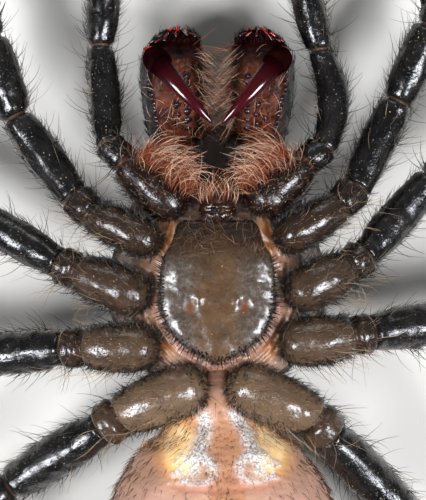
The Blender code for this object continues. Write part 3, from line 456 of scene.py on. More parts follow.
sternum_masks = {
    "sides": np.clip((np.abs(plate_x) - 0.55) / 0.9, 0, 1) * np.clip((1.9 - plate_y) / 0.8, 0, 1),
    "scar": np.clip(scar * 1.9 - 0.3, 0, 1) * (plate_y < -0.4),
    "front": np.clip((plate_y - 0.0) / 2.6, 0, 1) ** 1.4 * np.clip(0.75 + np.abs(plate_x) / 3.0, 0, 1),
}
sternum_masks = {key: np.concatenate([value, np.repeat(value[-1:], len(SKIRT_ROWS), axis=0)])
                 for key, value in sternum_masks.items()}
sternum = ring_skin("sternum_plate", np.concatenate([plate, skirt]), sternum_cuticle, sternum_masks)
fit(sternum, "sternum cuticle", "sternum")


# Labium
# The lower lip, a short dark knob of cuticle hinged to the sternum's front, with a groove across it.

LIP_HALF_WIDTH, LIP_HALF_LENGTH, LIP_Y = 0.86, 0.62, 3.39
# Rows of its height and the share of its full width and length there.
LIP_ROWS = np.array(((4.83, 0.6), (5.6, 0.85), (6.3, 0.94), (6.7, 1.0), (6.95, 0.97), (7.15, 0.87),
                     (7.3, 0.7), (7.39, 0.48), (7.43, 0.24), (7.44, 0.05)))

mouth_cuticle = hard_cuticle("mouthpart_cuticle", "0E0403", "26110A", "6A3218", 0.5, 0.2, 0.018, coat=0.35,
                             dullness=(0.2, 0.32))

turns = np.arange(90) * 2 * np.pi / 90
levels = np.column_stack([smooth_read(np.linspace(0, 9, 46), list(enumerate(column)))
                          for column in LIP_ROWS.T])
lip_x = LIP_HALF_WIDTH * np.cos(turns) * levels[:, 1:]
lip_y = LIP_Y + LIP_HALF_LENGTH * np.sin(turns) * levels[:, 1:]
groove = 0.13 * np.exp(-((lip_y - 3.4) / 0.13) ** 2) * np.clip((levels[:, :1] - 6.8) / 0.3, 0, 1)
lip_z = np.broadcast_to(levels[:, :1], lip_x.shape) - groove
lip = np.stack([lip_x, lip_y, lip_z], axis=-1)
lip += 0.01 * ripple(lip, 0.3, 12)[..., None]
# A faint soft-skin tint all over gives its maroon colour. Towards its front more is mixed in as a painted
# orange-red glow.
glow = np.clip((lip_y - 3.75) / 0.2, 0, 1)
labium = ring_skin("labium_lobe", lip, mouth_cuticle, {"membrane": 0.03 + glow * 0.5, "tone": 0.0})
fit(labium, "maxilla cuticle", "labium")


# Mouth
# The upper lip and the throat behind it, soft and folded, in the hollow between the jaws' roots, painted
# near-black as the shade in that hollow.

THROAT_REAR_Y, THROAT_LENGTH, THROAT_Z = 4.9, 2.5, 3.7

throat_turn = np.arange(80) * 2 * np.pi / 80
t = np.linspace(0, 1, 60)[:, None]
throat_half = smooth_read(t, ((0.0, 0.1), (0.05, 0.6), (0.3, 0.9), (0.75, 0.74), (0.93, 0.5), (1.0, 0.08)))
throat_x = throat_half * np.cos(throat_turn) * (1 + 1.4 * np.exp(-(((t - 0.48) / 0.25) ** 2)))
throat_y = np.broadcast_to(THROAT_REAR_Y + THROAT_LENGTH * t, throat_x.shape)
throat_z = THROAT_Z + (1.2 - 0.3 * t) * throat_half * np.sin(throat_turn) / 0.8
throat = np.stack([throat_x, throat_y, throat_z], axis=-1)
throat = throat + 0.05 * ripple(throat, 0.35, 15)[..., None]
# Painted shade: nearly all of it is near-black, as the mouth's hollow is in shade.
throat_masks = {"fold": 0.0, "hollow": 0.97, "stretched": 0.0}
fit(ring_skin("throat", throat, body_wall, throat_masks), "maxilla cuticle")


# Legs and palps
# Each is a chain of hard tubes of cuticle, joined by rings of soft skin: coxa, trochanter, femur,
# patella, tibia, metatarsus and tarsus. A palp has no metatarsus, and its coxa is the maxilla by the mouth.

COXA_Z, COXA_RISE, HIP_Z, GAP = 6.15, 0.35, 5.75, 0.28
COXA_DEPTH = 2 * (COXA_Z - DECK_Z - GAP)
DEPTH_TO_WIDTH = 1.1
# How steeply the segments past the femur rise, in degrees.
FRONT_RISE, REAR_RISE, PALP_RISE = (2, 10, 20, 30), (4, 12, 24, 34), (2, 10, 20)
# Inner and outer end of the coxa, start and end of the femur, and the ways that the rest points.
LIMBS = {
    "palp_right": ((-1.7, 3.35), (-4.2, 5.6), (-5.0, 6.5), (-5.4, 11.0, 4.6), (86, 84, 80), PALP_RISE),
    "palp_left": ((1.65, 3.5), (4.0, 5.6), (4.85, 6.2), (4.75, 10.8, 4.6), (104, 101, 98), PALP_RISE),
    "leg1_right": ((-2.65, 1.78), (-5.75, 3.22), (-6.55, 4.05), (-9.3, 7.7, 5.0), (108, 109, 111, 113),
                   FRONT_RISE),
    "leg1_left": ((2.75, 1.9), (5.55, 3.55), (6.35, 4.45), (8.3, 8.4, 5.0), (66, 64, 61, 58), FRONT_RISE),
    "leg2_right": ((-3.15, -0.7), (-6.4, 0.6), (-7.2, 0.95), (-11.4, 3.35, 4.7), (150, 151, 149, 146),
                   FRONT_RISE),
    "leg2_left": ((3.25, -0.6), (6.0, 0.8), (6.75, 1.3), (9.85, 4.85, 4.7), (40, 38, 36, 33), FRONT_RISE),
    "leg3_right": ((-2.7, -2.85), (-6.1, -2.85), (-7.0, -2.9), (-11.5, -3.35, 4.3), (184, 187, 190, 194),
                   REAR_RISE),
    "leg3_left": ((2.9, -2.7), (6.15, -2.35), (7.0, -2.2), (11.5, -1.6, 4.3), (6, 2, -3, -8), REAR_RISE),
    "leg4_right": ((-0.6, -4.35), (-4.45, -5.95), (-5.2, -6.5), (-9.6, -9.3, 3.9), (216, 220, 226, 232),
                   REAR_RISE),
    "leg4_left": ((0.6, -4.3), (4.45, -6.05), (5.1, -6.85), (8.7, -10.6, 3.9), (-44, -40, -46, -52),
                  REAR_RISE),
}
# Lengths from the patella outwards, widths from the coxa outwards, and how pale the coxa is.
LIMB_SIZES = {
    "palp": ((3.2, 3.5, 3.3), (2.2, 1.45, 1.45, 1.5, 1.5, 1.25), 0.0),
    "leg1": ((3.8, 3.9, 3.1, 1.9), (1.88, 1.65, 1.75, 1.8, 1.75, 1.4, 1.15), 0.27),
    "leg2": ((3.6, 3.5, 3.0, 1.9), (2.2, 1.75, 1.75, 1.8, 1.7, 1.4, 1.15), 0.38),
    "leg3": ((3.5, 2.4, 3.0, 2.1), (2.3, 1.85, 2.0, 2.0, 1.85, 1.45, 1.15), 0.55),
    "leg4": ((4.2, 4.6, 4.4, 2.2), (2.45, 2.05, 2.05, 2.0, 1.85, 1.45, 1.15), 0.95),
}
# The outline of each segment: rows of a share of its length and of its full radius there.
OUTLINES = {
    "maxilla": ((-0.07, 0.05), (-0.055, 0.32), (0.0, 0.6), (0.06, 0.8), (0.18, 0.95), (0.4, 1.0),
                (0.66, 0.98), (0.86, 0.86), (1.0, 0.66)),
    "coxa": ((-0.04, 0.05), (-0.03, 0.22), (0.0, 0.44), (0.05, 0.7), (0.16, 0.9), (0.36, 1.0),
             (0.62, 1.0), (0.84, 0.9), (1.0, 0.66)),
    "trochanter": ((0.0, 0.78), (0.3, 0.98), (0.75, 1.0), (1.0, 0.82)),
    "femur": ((0.0, 0.74), (0.1, 0.82), (0.3, 0.97), (0.55, 1.0), (0.8, 0.93), (0.93, 0.84), (1.0, 0.66)),
    "patella": ((0.0, 0.62), (0.12, 0.86), (0.4, 1.0), (0.75, 0.98), (0.92, 0.88), (1.0, 0.7)),
    "tibia": ((0.0, 0.68), (0.12, 0.9), (0.4, 1.0), (0.75, 0.98), (0.93, 0.86), (1.0, 0.7)),
    "metatarsus": ((0.0, 0.74), (0.12, 0.94), (0.45, 1.0), (0.8, 0.88), (0.94, 0.82), (1.0, 0.7)),
    "tarsus": ((0.0, 0.74), (0.14, 0.98), (0.5, 1.0), (0.82, 0.84), (0.97, 0.56), (1.0, 0.42), (1.02, 0.2),
               (1.025, 0.05)),
}
# How far a segment bows towards the back at its middle, and the left palp's femur sways to its side.
BOWS = {"femur": 0.3, "patella": 0.12}
LEFT_PALP_SWAY = 0.55
# A joint's soft ring is sunk between two hard rims: millimetres from the joint and a share of the outline.
JOINT = ((0.0, 0.8), (0.03, 0.81), (0.06, 0.9), (0.1, 1.0), (0.16, 1.04), (0.28, 1.03), (0.42, 1.0))
RING_SPACING, END_RINGS = 0.15, 14
UP = np.array([0.0, 0.0, 1.0])

leg_cuticle = hard_cuticle("leg_cuticle", "0B0A0A", "1E1B1A", "4E3A2E", 0.8, 0.05, 0.018, coat=0.3,
                           coat_roughness=0.09, dullness=(0.14, 0.26))

around = np.arange(56) * 2 * np.pi / 56


def heading(azimuth, elevation):
    """The unit vector that points that way, in degrees from +X and above the floor."""
    turn, lift = np.radians(azimuth), np.radians(elevation)
    return np.array([np.cos(turn) * np.cos(lift), np.sin(turn) * np.cos(lift), np.sin(lift)])


def segment_rings(start, end, width, depth, outline, cuts, bow, sway, joined):
    """The rings of one segment: ovals along a straight line that bows towards the back and sways to one
    side by a parabola. Near an end each point slides along the segment into the plane that halves the
    joint's angle, and at a joint the ovals shrink to the soft ring. Also gives each ring's share of the
    length and how soft it is."""
    length = np.linalg.norm(end - start)
    along = (end - start) / length
    side = unit(np.cross(along, UP))
    belly = np.cross(side, along)
    places, shrink = np.array(JOINT).T
    low, high = outline[0][0], outline[-1][0]
    first = places / length if joined[0] else np.linspace(low, places[-1] / length, END_RINGS)
    last = 1 - places[::-1] / length if joined[1] else np.linspace(1 - places[-1] / length, high, END_RINGS)
    inner = np.linspace(first[-1], last[0], int((last[0] - first[-1]) * length / RING_SPACING) + 3)[1:-1]
    share = np.concatenate([first, inner, last])
    drawn_in = np.concatenate([shrink if joined[0] else np.ones(END_RINGS), np.ones(len(inner)),
                               shrink[::-1] if joined[1] else np.ones(END_RINGS)])
    arch = 4 * np.clip(share, 0, 1) * (1 - np.clip(share, 0, 1))
    centre = start + share[:, None] * (end - start) + arch[:, None] * (sway * side - bow * belly)
    size = smooth_read(share, outline) * drawn_in
    oval = np.cos(around)[:, None] * side * width / 2 + np.sin(around)[:, None] * belly * depth / 2
    oval = size[:, None, None] * oval
    near_start = np.clip(1 - share / 0.2, 0, 1)[:, None]
    near_end = np.clip(1 - (1 - share) / 0.2, 0, 1)[:, None]
    normal = unit(cuts[0] * near_start + cuts[1] * near_end + along * (1 - near_start - near_end))
    slide = -np.einsum("rcx,rx->rc", oval, normal) / (normal @ along)[:, None]
    softness = np.clip((1.0 - drawn_in) / 0.1, 0, 1)
    return centre[:, None] + oval + slide[..., None] * along, share, softness


limbs = {}
for name, (inner, outer, hip, knee, azimuths, elevations) in LIMBS.items():
    lengths, widths, coxa_tone = LIMB_SIZES[name.split("_")[0]]
    is_palp = "palp" in name
    rise = 0.0 if is_palp else COXA_RISE
    joints = [np.array([*inner, COXA_Z + rise]), np.array([*outer, COXA_Z]), np.array([*hip, HIP_Z]),
              np.array(knee)]
    for length, azimuth, elevation in zip(lengths, azimuths, elevations):
        joints.append(joints[-1] + heading(azimuth, elevation) * length)
    aims = unit(np.diff(joints, axis=0))
    cuts = [aims[0], *unit(aims[:-1] + aims[1:]), aims[-1]]
    if is_palp:
        kinds = ("maxilla", "trochanter", "femur", "patella", "tibia", "tarsus")
        nodes = (f"maxilla_{name[5:]}", name + "_thigh", name + "_shank", name + "_tarsus")
    else:
        kinds = ("coxa", "trochanter", "femur", "patella", "tibia", "metatarsus", "tarsus")
        nodes = [f"{name}_{node}" for node in ("coxa", "thigh", "shank", "foot")]
    stacks, shares, softs, numbers = [], [], [], []
    for number, kind in enumerate(kinds):
        depth = COXA_DEPTH if number == 0 else widths[number] * DEPTH_TO_WIDTH
        bow = BOWS.get(kind, 0.0)
        sway = LEFT_PALP_SWAY if (name, kind) == ("palp_left", "femur") else 0.0
        ends = (number > 0, number < len(kinds) - 1)
        rings, share, soft = segment_rings(joints[number], joints[number + 1], widths[number], depth,
                                           OUTLINES[kind], cuts[number : number + 2], bow, sway, ends)
        skip = 1 if number else 0  # the ring of a joint belongs to both its segments
        stacks.append(rings[skip:])
        shares.append(share[skip:])
        softs.append(soft[skip:])
        numbers.append(np.full(len(share) - skip, number))
    rings, share, soft, number = (np.concatenate(part) for part in (stacks, shares, softs, numbers))
    hub = rings.mean(axis=1, keepdims=True)
    swelling = 0.022 * ripple(rings, 0.9, 20) + 0.01 * ripple(rings, 0.35, 21)
    rings = rings + unit(rings - hub) * (swelling * (1 - soft[:, None]))[..., None]
    tone = np.where(number == 0, coxa_tone, np.where(number == 1, coxa_tone * 0.45, 0.0))[:, None]
    skin = ring_skin(name + "_skin", rings, leg_cuticle, {"membrane": soft[:, None], "tone": tone})
    fit(skin, "leg cuticle", *nodes)
    if is_palp:
        skin.data.materials.append(mouth_cuticle)
        face_row = np.arange(len(skin.data.polygons)) // len(around)
        own = (face_row < np.count_nonzero(number == 0)).astype(np.int32)
        skin.data.polygons.foreach_set("material_index", own)
    limbs[name] = dict(rings=rings, share=share, number=number, tip=joints[-1], last_way=aims[-1])


# Digging spines
# Short stout spines of dark cuticle, each in its own socket, down the sides of the outer segments of the
# palps and the front two pairs of legs, and a few on the hind ones.

# How wide the patch of a hair is on the map OFBake, as a share of the map.
HAIR_PATCH = 0.003


def cells(rings):
    """Of each cell between rings: its middle, the way out, the way to the last ring, and its area."""
    beside = np.roll(rings, -1, axis=1)
    middle = (rings[:-1] + beside[:-1] + rings[1:] + beside[1:]) / 4
    down = unit(rings[1:] - rings[:-1] + beside[1:] - beside[:-1])
    crossed = np.cross(rings[1:] - beside[:-1], beside[1:] - rings[:-1])
    out = unit(crossed)
    hub = rings.mean(axis=1, keepdims=True)
    facing = np.sign(np.sum(out * (middle - (hub[:-1] + hub[1:]) / 2)))
    return middle, out * facing, down, np.linalg.norm(crossed, axis=-1) / 2


def scatter(rings, count, weights, seed):
    """Roots drawn at random over a skin: a cell by its area times its weight, then a spot inside it. Gives
    the roots, the ways out and down there, and where each lies on the skin laid flat, as two shares."""
    out, down, area = cells(rings)[1:]
    chance = (area * weights).ravel()
    draw = np.random.default_rng(seed)
    row, column = np.divmod(draw.choice(chance.size, count, p=chance / chance.sum()), rings.shape[1])
    a, b = draw.random((2, count, 1))
    beside = np.roll(rings, -1, axis=1)
    root = (1 - a) * ((1 - b) * rings[row, column] + b * beside[row, column])
    root = root + a * ((1 - b) * rings[row + 1, column] + b * beside[row + 1, column])
    flat = np.concatenate([(column[:, None] + b) / rings.shape[1], (row[:, None] + a) / rings.shape[0]],
                          axis=1)
    return root, out[row, column], down[row, column], flat


def coat(name, groups, finish, steps=4, sides=3):
    """Joined tapered hairs as one solid mesh. Each hair leaves its root one way and bends evenly towards
    another, along an arc of a circle, and it wavers across that by a sine. Its section is a small regular
    polygon that shrinks towards the tip. On the map OFBake a hair is a small patch where its root lies
    on the skin laid flat, and each group of hairs has its own strip of the map."""
    points, tints, heights, spots = [], [], [], []
    for number, group in enumerate(groups):
        way = unit(group["way"])
        lean = group["lean"] - (group["lean"] * way).sum(axis=1, keepdims=True) * way
        lean = unit(lean + 1e-6)
        cross = np.cross(way, lean)
        count = len(way)
        draw = np.random.default_rng(1000 + number)
        bend = np.maximum(group["bend"] * draw.uniform(0.6, 1.4, count), 0.01)[:, None, None]
        s = (np.arange(steps) / steps)[None, :, None]
        s = np.concatenate([s, np.ones((1, 1, 1))], axis=1)
        length = group["length"][:, None, None]
        phase = draw.uniform(0, 6.28, (count, 1, 1))
        waver = group.get("waver", 0.0) * np.sin(s * 2 * np.pi * 0.8 + phase) * s
        path = way[:, None] * np.sin(bend * s) / bend + lean[:, None] * (1 - np.cos(bend * s)) / bend
        path = group["root"][:, None] + length * (path + cross[:, None] * waver)
        turned = lean[:, None] * np.cos(bend * s) - way[:, None] * np.sin(bend * s)
        angle = np.arange(sides) * 2 * np.pi / sides
        section = (np.cos(angle)[:, None] * turned[:, :-1, None]
                   + np.sin(angle)[:, None] * cross[:, None, None])
        radius = group["radius"] * draw.uniform(0.7, 1.2, (count, 1, 1, 1)) * (1 - s[:, :-1, None] * 0.75)
        body = (path[:, :-1, None] + section * radius).reshape(count, steps * sides, 3)
        points.append(np.concatenate([body, path[:, -1:]], axis=1))
        tints.append(np.repeat(np.clip(group.get("tint", 0.5) + draw.uniform(-0.35, 0.35, count), 0, 1),
                               steps * sides + 1))
        along = np.concatenate([np.repeat(np.arange(steps) / steps, sides), [1.0]])
        heights.append(np.tile(along, count))
        strip = (group["flat"] * 0.99) * [1 / len(groups), 1.0] + [number / len(groups), 0.0]
        spots.append(strip)
    points, spots = np.concatenate(points), np.concatenate(spots)
    each = steps * sides + 1
    ring, corner = np.divmod(np.arange((steps - 1) * sides), sides)
    here, beside = ring * sides + corner, ring * sides + (corner + 1) % sides
    quads = np.stack([here, here + sides, beside + sides, beside], axis=1)
    last = (steps - 1) * sides
    corner = np.arange(sides)
    tips = np.stack([last + corner, np.full(sides, each - 1), last + (corner + 1) % sides], axis=1)
    start = (np.arange(len(spots)) * each)[:, None]
    pattern = np.concatenate([quads.ravel(), tips.ravel(), np.arange(sides)])
    counts = np.concatenate([np.full(len(quads), 4), np.full(sides, 3), [sides]])
    corners = (start + pattern).ravel()
    masks = {"tint": np.concatenate(tints), "height": np.concatenate(heights)}
    piece = mesh_object(name, points.reshape(-1, 3), corners, np.tile(counts, len(spots)), finish, masks)
    # Round a hair runs across its patch and the way to its tip runs up it.
    turn = np.arange(each) % sides / sides
    climb = np.concatenate([np.repeat(np.arange(steps), sides), [steps]]) / steps
    patch = np.column_stack([turn[pattern], climb[pattern]]) * HAIR_PATCH
    flat = (spots[:, None] + patch).reshape(-1, 2)
    piece.data.uv_layers.new(name="OFBake").data.foreach_set("uv", flat.ravel())
    return piece


def hair_finish(name, root_colour, tip_colour, pale_colour, roughness=0.38, gloss=0.5):
    """Spider hair, hollow bristles of chitin. Each is darker where it is thick, and some are paler."""
    finish, tree, shader = new_finish(name, 0.0, 0.2)
    shader.inputs["Roughness"].default_value = roughness
    shader.inputs["Specular IOR Level"].default_value = gloss
    tint = add_node(tree, "Attribute", {}, "Fac", attribute_name="tint")
    height = add_node(tree, "Attribute", {}, "Fac", attribute_name="height")
    rising = add_node(tree, "MapRange", {"Value": height, "From Min": 0.05, "From Max": 0.6})
    colour = add_node(tree, "Mix", {0: rising, 6: linear(root_colour), 7: linear(tip_colour)},
                      data_type="RGBA")
    some = add_node(tree, "MapRange", {"Value": tint, "From Min": 0.55, "From Max": 0.8})
    outwards = add_node(tree, "MapRange", {"Value": height, "From Max": 0.45})
    paling = add_node(tree, "Math", {0: some, 1: outwards}, operation="MULTIPLY")
    mixed = add_node(tree, "Mix", {0: paling, 6: colour, 7: linear(pale_colour)}, data_type="RGBA")
    tree.links.new(mixed, shader.inputs["Base Color"])
    return finish


spine_cuticle = hair_finish("spine_cuticle", "0B0909", "2A1712", "38201A", 0.22)

spine_groups, claw_groups = [], []
for name, limb in limbs.items():
    rings, number, share = limb["rings"], limb["number"], limb["share"]
    front_limb = name[:4] in ("palp", "leg1", "leg2")
    outer_segments = np.isin(number[:-1], (4, 5, 6) if front_limb else (5,))
    clear = (share[:-1] > 0.12) & (share[:-1] < 0.9)
    # They grow on the two sides, a little towards the belly.
    lateral = np.abs(np.cos(around + np.pi / len(around))) ** 6 * (np.sin(around) > -0.1)
    weights = (outer_segments & clear)[:, None] * lateral
    root, out, down, flat = scatter(rings, 70 if front_limb else 24, weights, 31)
    spine_groups.append(dict(root=root - out * 0.05, way=out + down * 1.1, lean=down, bend=0.35,
                             length=np.random.default_rng(32).uniform(0.45, 0.85, len(root)), radius=0.075,
                             flat=flat, tint=0.3))
    # Two claws, or one on a palp, curl off the tip of the tarsus.
    tip, along = limb["tip"], limb["last_way"]
    side = unit(np.cross(along, UP))
    belly = np.cross(side, along)
    turns = np.array([[0.0]] if "palp" in name else [[-1.0], [1.0]])
    claw_root = tip - along * 0.12 + side * 0.2 * turns
    claw_groups.append(dict(root=claw_root, way=along + side * turns * 0.35 - belly * 0.2,
                            lean=np.broadcast_to(belly, claw_root.shape), bend=1.3,
                            length=np.full(len(turns), 0.95), radius=0.16,
                            flat=np.column_stack([turns * 0.2 + 0.5, np.full(len(turns), 0.97)]), tint=0.2))
fit(coat("digging_spines", spine_groups, spine_cuticle, steps=5, sides=7), "leg cuticle")
fit(coat("tarsal_claws", claw_groups, spine_cuticle, steps=12, sides=12), "leg cuticle")


# Chelicerae
# The two stout jaws, of thick cuticle: blue-black and smooth outside, fleshy brown in the furrow that the
# fang folds into, with a row of knobs along its outer edge and of teeth along its inner one.

# A share of the length, inner and outer x, lowest and highest z.
CHELICERA_ROWS = np.array((
    (0.0, 0.95, 3.05, 1.7, 4.5), (0.1, 0.8, 3.2, 1.45, 4.95), (0.28, 0.7, 3.42, 1.2, 5.55),
    (0.5, 0.7, 3.55, 1.1, 5.95), (0.68, 0.72, 3.56, 1.2, 6.05), (0.8, 0.76, 3.38, 1.4, 5.85),
    (0.9, 0.85, 3.0, 1.8, 5.3), (0.97, 1.05, 2.5, 2.4, 4.6), (1.0, 1.35, 2.05, 2.9, 4.0),
))
CHELICERA_REAR_Y, CHELICERA_LENGTH, FURROW_DEPTH = 6.48, 5.35, 0.32
MIRROR = {"left": np.array([1.0, 1.0, 1.0]), "right": np.array([-1.0, 1.0, 1.0])}

jaw_cuticle, tree, shader = new_finish("jaw_cuticle", 0.0, 0.1, gloss=0.14)
place = add_node(tree, "TexCoord", {}, "Object")
masks = {key: add_node(tree, "Attribute", {}, "Fac", attribute_name=key) for key in ("flesh", "rim")}
cloud = add_node(tree, "TexNoise", {"Vector": place, "Scale": 1 / (0.7 * MM), "Detail": 4.0})
part = add_node(tree, "MapRange", {"Value": cloud, "From Min": 0.35, "From Max": 0.65})
outer_jaw = add_node(tree, "Mix", {0: part, 6: linear("07080A"), 7: linear("121518")}, data_type="RGBA")
fleshy = add_node(tree, "Mix", {0: part, 6: linear("30130A"), 7: linear("62301C")}, data_type="RGBA")
maroon = add_node(tree, "Mix", {0: part, 6: linear("100304"), 7: linear("240A08")}, data_type="RGBA")
colour = outer_jaw
for key, over in (("flesh", fleshy), ("rim", maroon)):
    colour = add_node(tree, "Mix", {0: masks[key], 6: colour, 7: over}, data_type="RGBA")
tree.links.new(colour, shader.inputs["Base Color"])
fine = add_node(tree, "TexNoise", {"Vector": place, "Scale": 1 / (0.12 * MM), "Detail": 3.0})
dull = add_node(tree, "MapRange", {"Value": fine, "From Min": 0.35, "From Max": 0.65, "To Min": 0.2,
                                   "To Max": 0.32})
soft_dull = add_node(tree, "Math", {0: masks["flesh"], 1: 0.25, 2: dull}, operation="MULTIPLY_ADD")
tree.links.new(soft_dull, shader.inputs["Roughness"])
rim_gloss = add_node(tree, "MapRange", {"Value": masks["rim"], "To Min": 0.12, "To Max": 0.0})
tree.links.new(rim_gloss, shader.inputs["Specular IOR Level"])
relief = add_node(tree, "Bump", {"Height": fine, "Strength": 1.0, "Distance": 0.02 * MM})
tree.links.new(relief, shader.inputs["Normal"])

jaw_share = np.concatenate([np.linspace(0, 0.85, 70), np.linspace(0.86, 1.0, 22)])[:, None]
jaw_turn = np.arange(120) * 2 * np.pi / 120


def jaw_rings(share, turn):
    """Points of the left jaw: a rounded oval between its inner and outer x and its lowest and highest z,
    carried forwards, with a smooth furrow sunk along its belly side."""
    inner, outer, low, high = (smooth_read(share, CHELICERA_ROWS[:, [0, i]]) for i in (1, 2, 3, 4))
    wide = np.sign(np.cos(turn)) * np.abs(np.cos(turn)) ** 0.9
    tall = np.sign(np.sin(turn)) * np.abs(np.sin(turn)) ** 0.85
    x = (inner + outer) / 2 + (outer - inner) / 2 * wide
    z = (low + high) / 2 + (high - low) / 2 * tall
    furrow = np.exp(-((np.degrees(turn) - 92) / 24) ** 2)
    z = z - FURROW_DEPTH * furrow * np.clip((0.93 - share) / 0.1, 0, 1)
    y = CHELICERA_REAR_Y + CHELICERA_LENGTH * share
    return np.stack(np.broadcast_arrays(x, y, z), axis=-1)


left_jaw = jaw_rings(jaw_share, jaw_turn)
degrees = np.degrees(jaw_turn)
flesh = np.exp(-((degrees - 96) / 42) ** 4) * np.clip((0.8 - jaw_share) / 0.1, 0, 1)
rim_shade = np.clip((jaw_share - 0.72) / 0.12, 0, 1) * (0.25 + 0.75 * (degrees < 180))
jaw_skins = {}
for side, mirror in MIRROR.items():
    rings = left_jaw * mirror
    hub = rings.mean(axis=1, keepdims=True)
    swelling = 0.025 * ripple(rings, 0.7, 41) + 0.03 * flesh * ripple(rings, 0.25, 42)
    rings = rings + unit(rings - hub) * swelling[..., None]
    jaw_skins[side] = rings
    skin = ring_skin(f"chelicera_{side}_skin", rings, jaw_cuticle, {"flesh": flesh, "rim": rim_shade})
    fit(skin, "chelicera cuticle", f"chelicera_{side}")


def jaw_roots(side, share, angle):
    """Places on the jaw's surface, and the ways out of it there."""
    share, turn = np.asarray(share, float), np.radians(np.asarray(angle, float))
    root = jaw_rings(share, turn)
    along = jaw_rings(share + 0.005, turn) - root
    across = jaw_rings(share, turn + 0.02) - root
    return root * MIRROR[side], unit(np.cross(across, along)) * MIRROR[side]


# The knobs on the furrow's outer edge, and the teeth on its inner edge, translucent and purplish.
tooth_cuticle = hair_finish("tooth_cuticle", "24161B", "5A4850", "8A747C", 0.16)
rake_cuticle = hair_finish("rake_peg_cuticle", "1A0203", "4A0606", "D8221A", 0.2)
draw = np.random.default_rng(43)
knob_groups, rake_groups = [], []
for side, mirror in MIRROR.items():
    knob_share = np.linspace(0.13, 0.74, 17) + draw.uniform(-0.01, 0.01, 17)
    knob_angle = np.interp(knob_share, (0.13, 0.4, 0.74), (60, 52, 42)) + draw.uniform(-3, 3, 17)
    root, out = jaw_roots(side, knob_share, knob_angle)
    knob_groups.append(dict(root=root - out * 0.1, way=out, lean=out + UP, bend=0.2,
                            length=draw.uniform(0.22, 0.34, 17), radius=0.14,
                            flat=np.column_stack([knob_angle / 360, knob_share]), tint=0.15))
    tooth_share = np.array([0.14, 0.21, 0.28, 0.35, 0.42, 0.5, 0.58])
    root, out = jaw_roots(side, tooth_share, np.full(7, 118.0))
    knob_groups.append(dict(root=root - out * 0.1, way=out + UP * 0.5, lean=out * [0, 1, 1] + UP, bend=0.3,
                            length=draw.uniform(0.34, 0.46, 7), radius=0.19,
                            flat=np.column_stack([np.full(7, 118 / 360), tooth_share]), tint=0.7))
    root, out = jaw_roots(side, np.array([0.18, 0.26, 0.34, 0.23]), np.array([96.0, 99.0, 97.0, 84.0]))
    knob_groups.append(dict(root=root - out * 0.1, way=out, lean=out + UP, bend=0.3, length=np.full(4, 0.3),
                            radius=0.17, flat=np.column_stack([np.full(4, 0.27), np.linspace(0.2, 0.4, 4)]),
                            tint=0.8))
    # The rake: red pegs for digging, in crowded rows round the jaw's front rim.
    for row_share, angles in ((0.965, np.arange(-160, 150, 31)), (0.92, np.arange(-168, 150, 26)),
                              (0.87, np.arange(-150, 70, 24)), (0.82, np.arange(-40, 50, 24))):
        count = len(angles)
        peg_angle = angles + draw.uniform(-4, 4, count)
        peg_share = row_share + draw.uniform(-0.012, 0.012, count)
        root, out = jaw_roots(side, peg_share, peg_angle)
        rake_groups.append(dict(root=root - out * 0.06, way=out * 0.6 + [0, 0.75, 0.4],
                                lean=out + [0, 0.1, 0.3], bend=0.4, length=draw.uniform(0.28, 0.48, count),
                                radius=0.09, flat=np.column_stack([(peg_angle % 360) / 360, peg_share]),
                                tint=0.5))
fit(coat("jaw_teeth_and_knobs", knob_groups, tooth_cuticle, steps=6, sides=9), "chelicera cuticle")
fit(coat("rake_pegs", rake_groups, rake_cuticle, steps=5, sides=7), "fang")


# Fangs
# Hollow, hardened blades of deep red cuticle that fold across the mouth. Each tapers from a dark collar
# at the jaw's tip, and is polished like a claw.

FANG_ROOT, FANG_TIP = np.array([2.6, 10.1, 6.45]), np.array([0.2, 7.35, 6.75])
FANG_AIM = unit(FANG_TIP - FANG_ROOT + [0.0, 0.0, 1.5])  # the way it leaves its root
FANG_FLATNESS, COLLAR_RADIUS = 0.85, 0.62

fang_cuticle, tree, shader = new_finish("fang_cuticle", 0.15, 0.03, gloss=0.4)
shader.inputs["Roughness"].default_value = 0.14
place = add_node(tree, "TexCoord", {}, "Object")
run = add_node(tree, "Attribute", {}, "Fac", attribute_name="run")
leaving = add_node(tree, "MapRange", {"Value": run, "From Max": 0.45})
cloud = add_node(tree, "TexNoise", {"Vector": place, "Scale": 1 / (0.5 * MM), "Detail": 2.0})
red = add_node(tree, "Mix", {0: cloud, 6: linear("240106"), 7: linear("40030A")}, data_type="RGBA")
shaded = add_node(tree, "Mix", {0: leaving, 6: linear("0C0204"), 7: red}, data_type="RGBA")
tree.links.new(shaded, shader.inputs["Base Color"])
polish = add_node(tree, "MapRange", {"Value": run, "From Min": 0.1, "From Max": 0.3, "To Max": 0.4})
tree.links.new(polish, shader.inputs["Specular IOR Level"])
film = add_node(tree, "MapRange", {"Value": run, "From Min": 0.12, "From Max": 0.3, "To Max": 0.15})
tree.links.new(film, shader.inputs["Coat Weight"])
streaks = add_node(tree, "TexNoise", {"Vector": place, "Scale": 1 / (0.3 * MM), "Detail": 2.0})
relief = add_node(tree, "Bump", {"Height": streaks, "Strength": 0.5, "Distance": 0.01 * MM})
tree.links.new(relief, shader.inputs["Normal"])

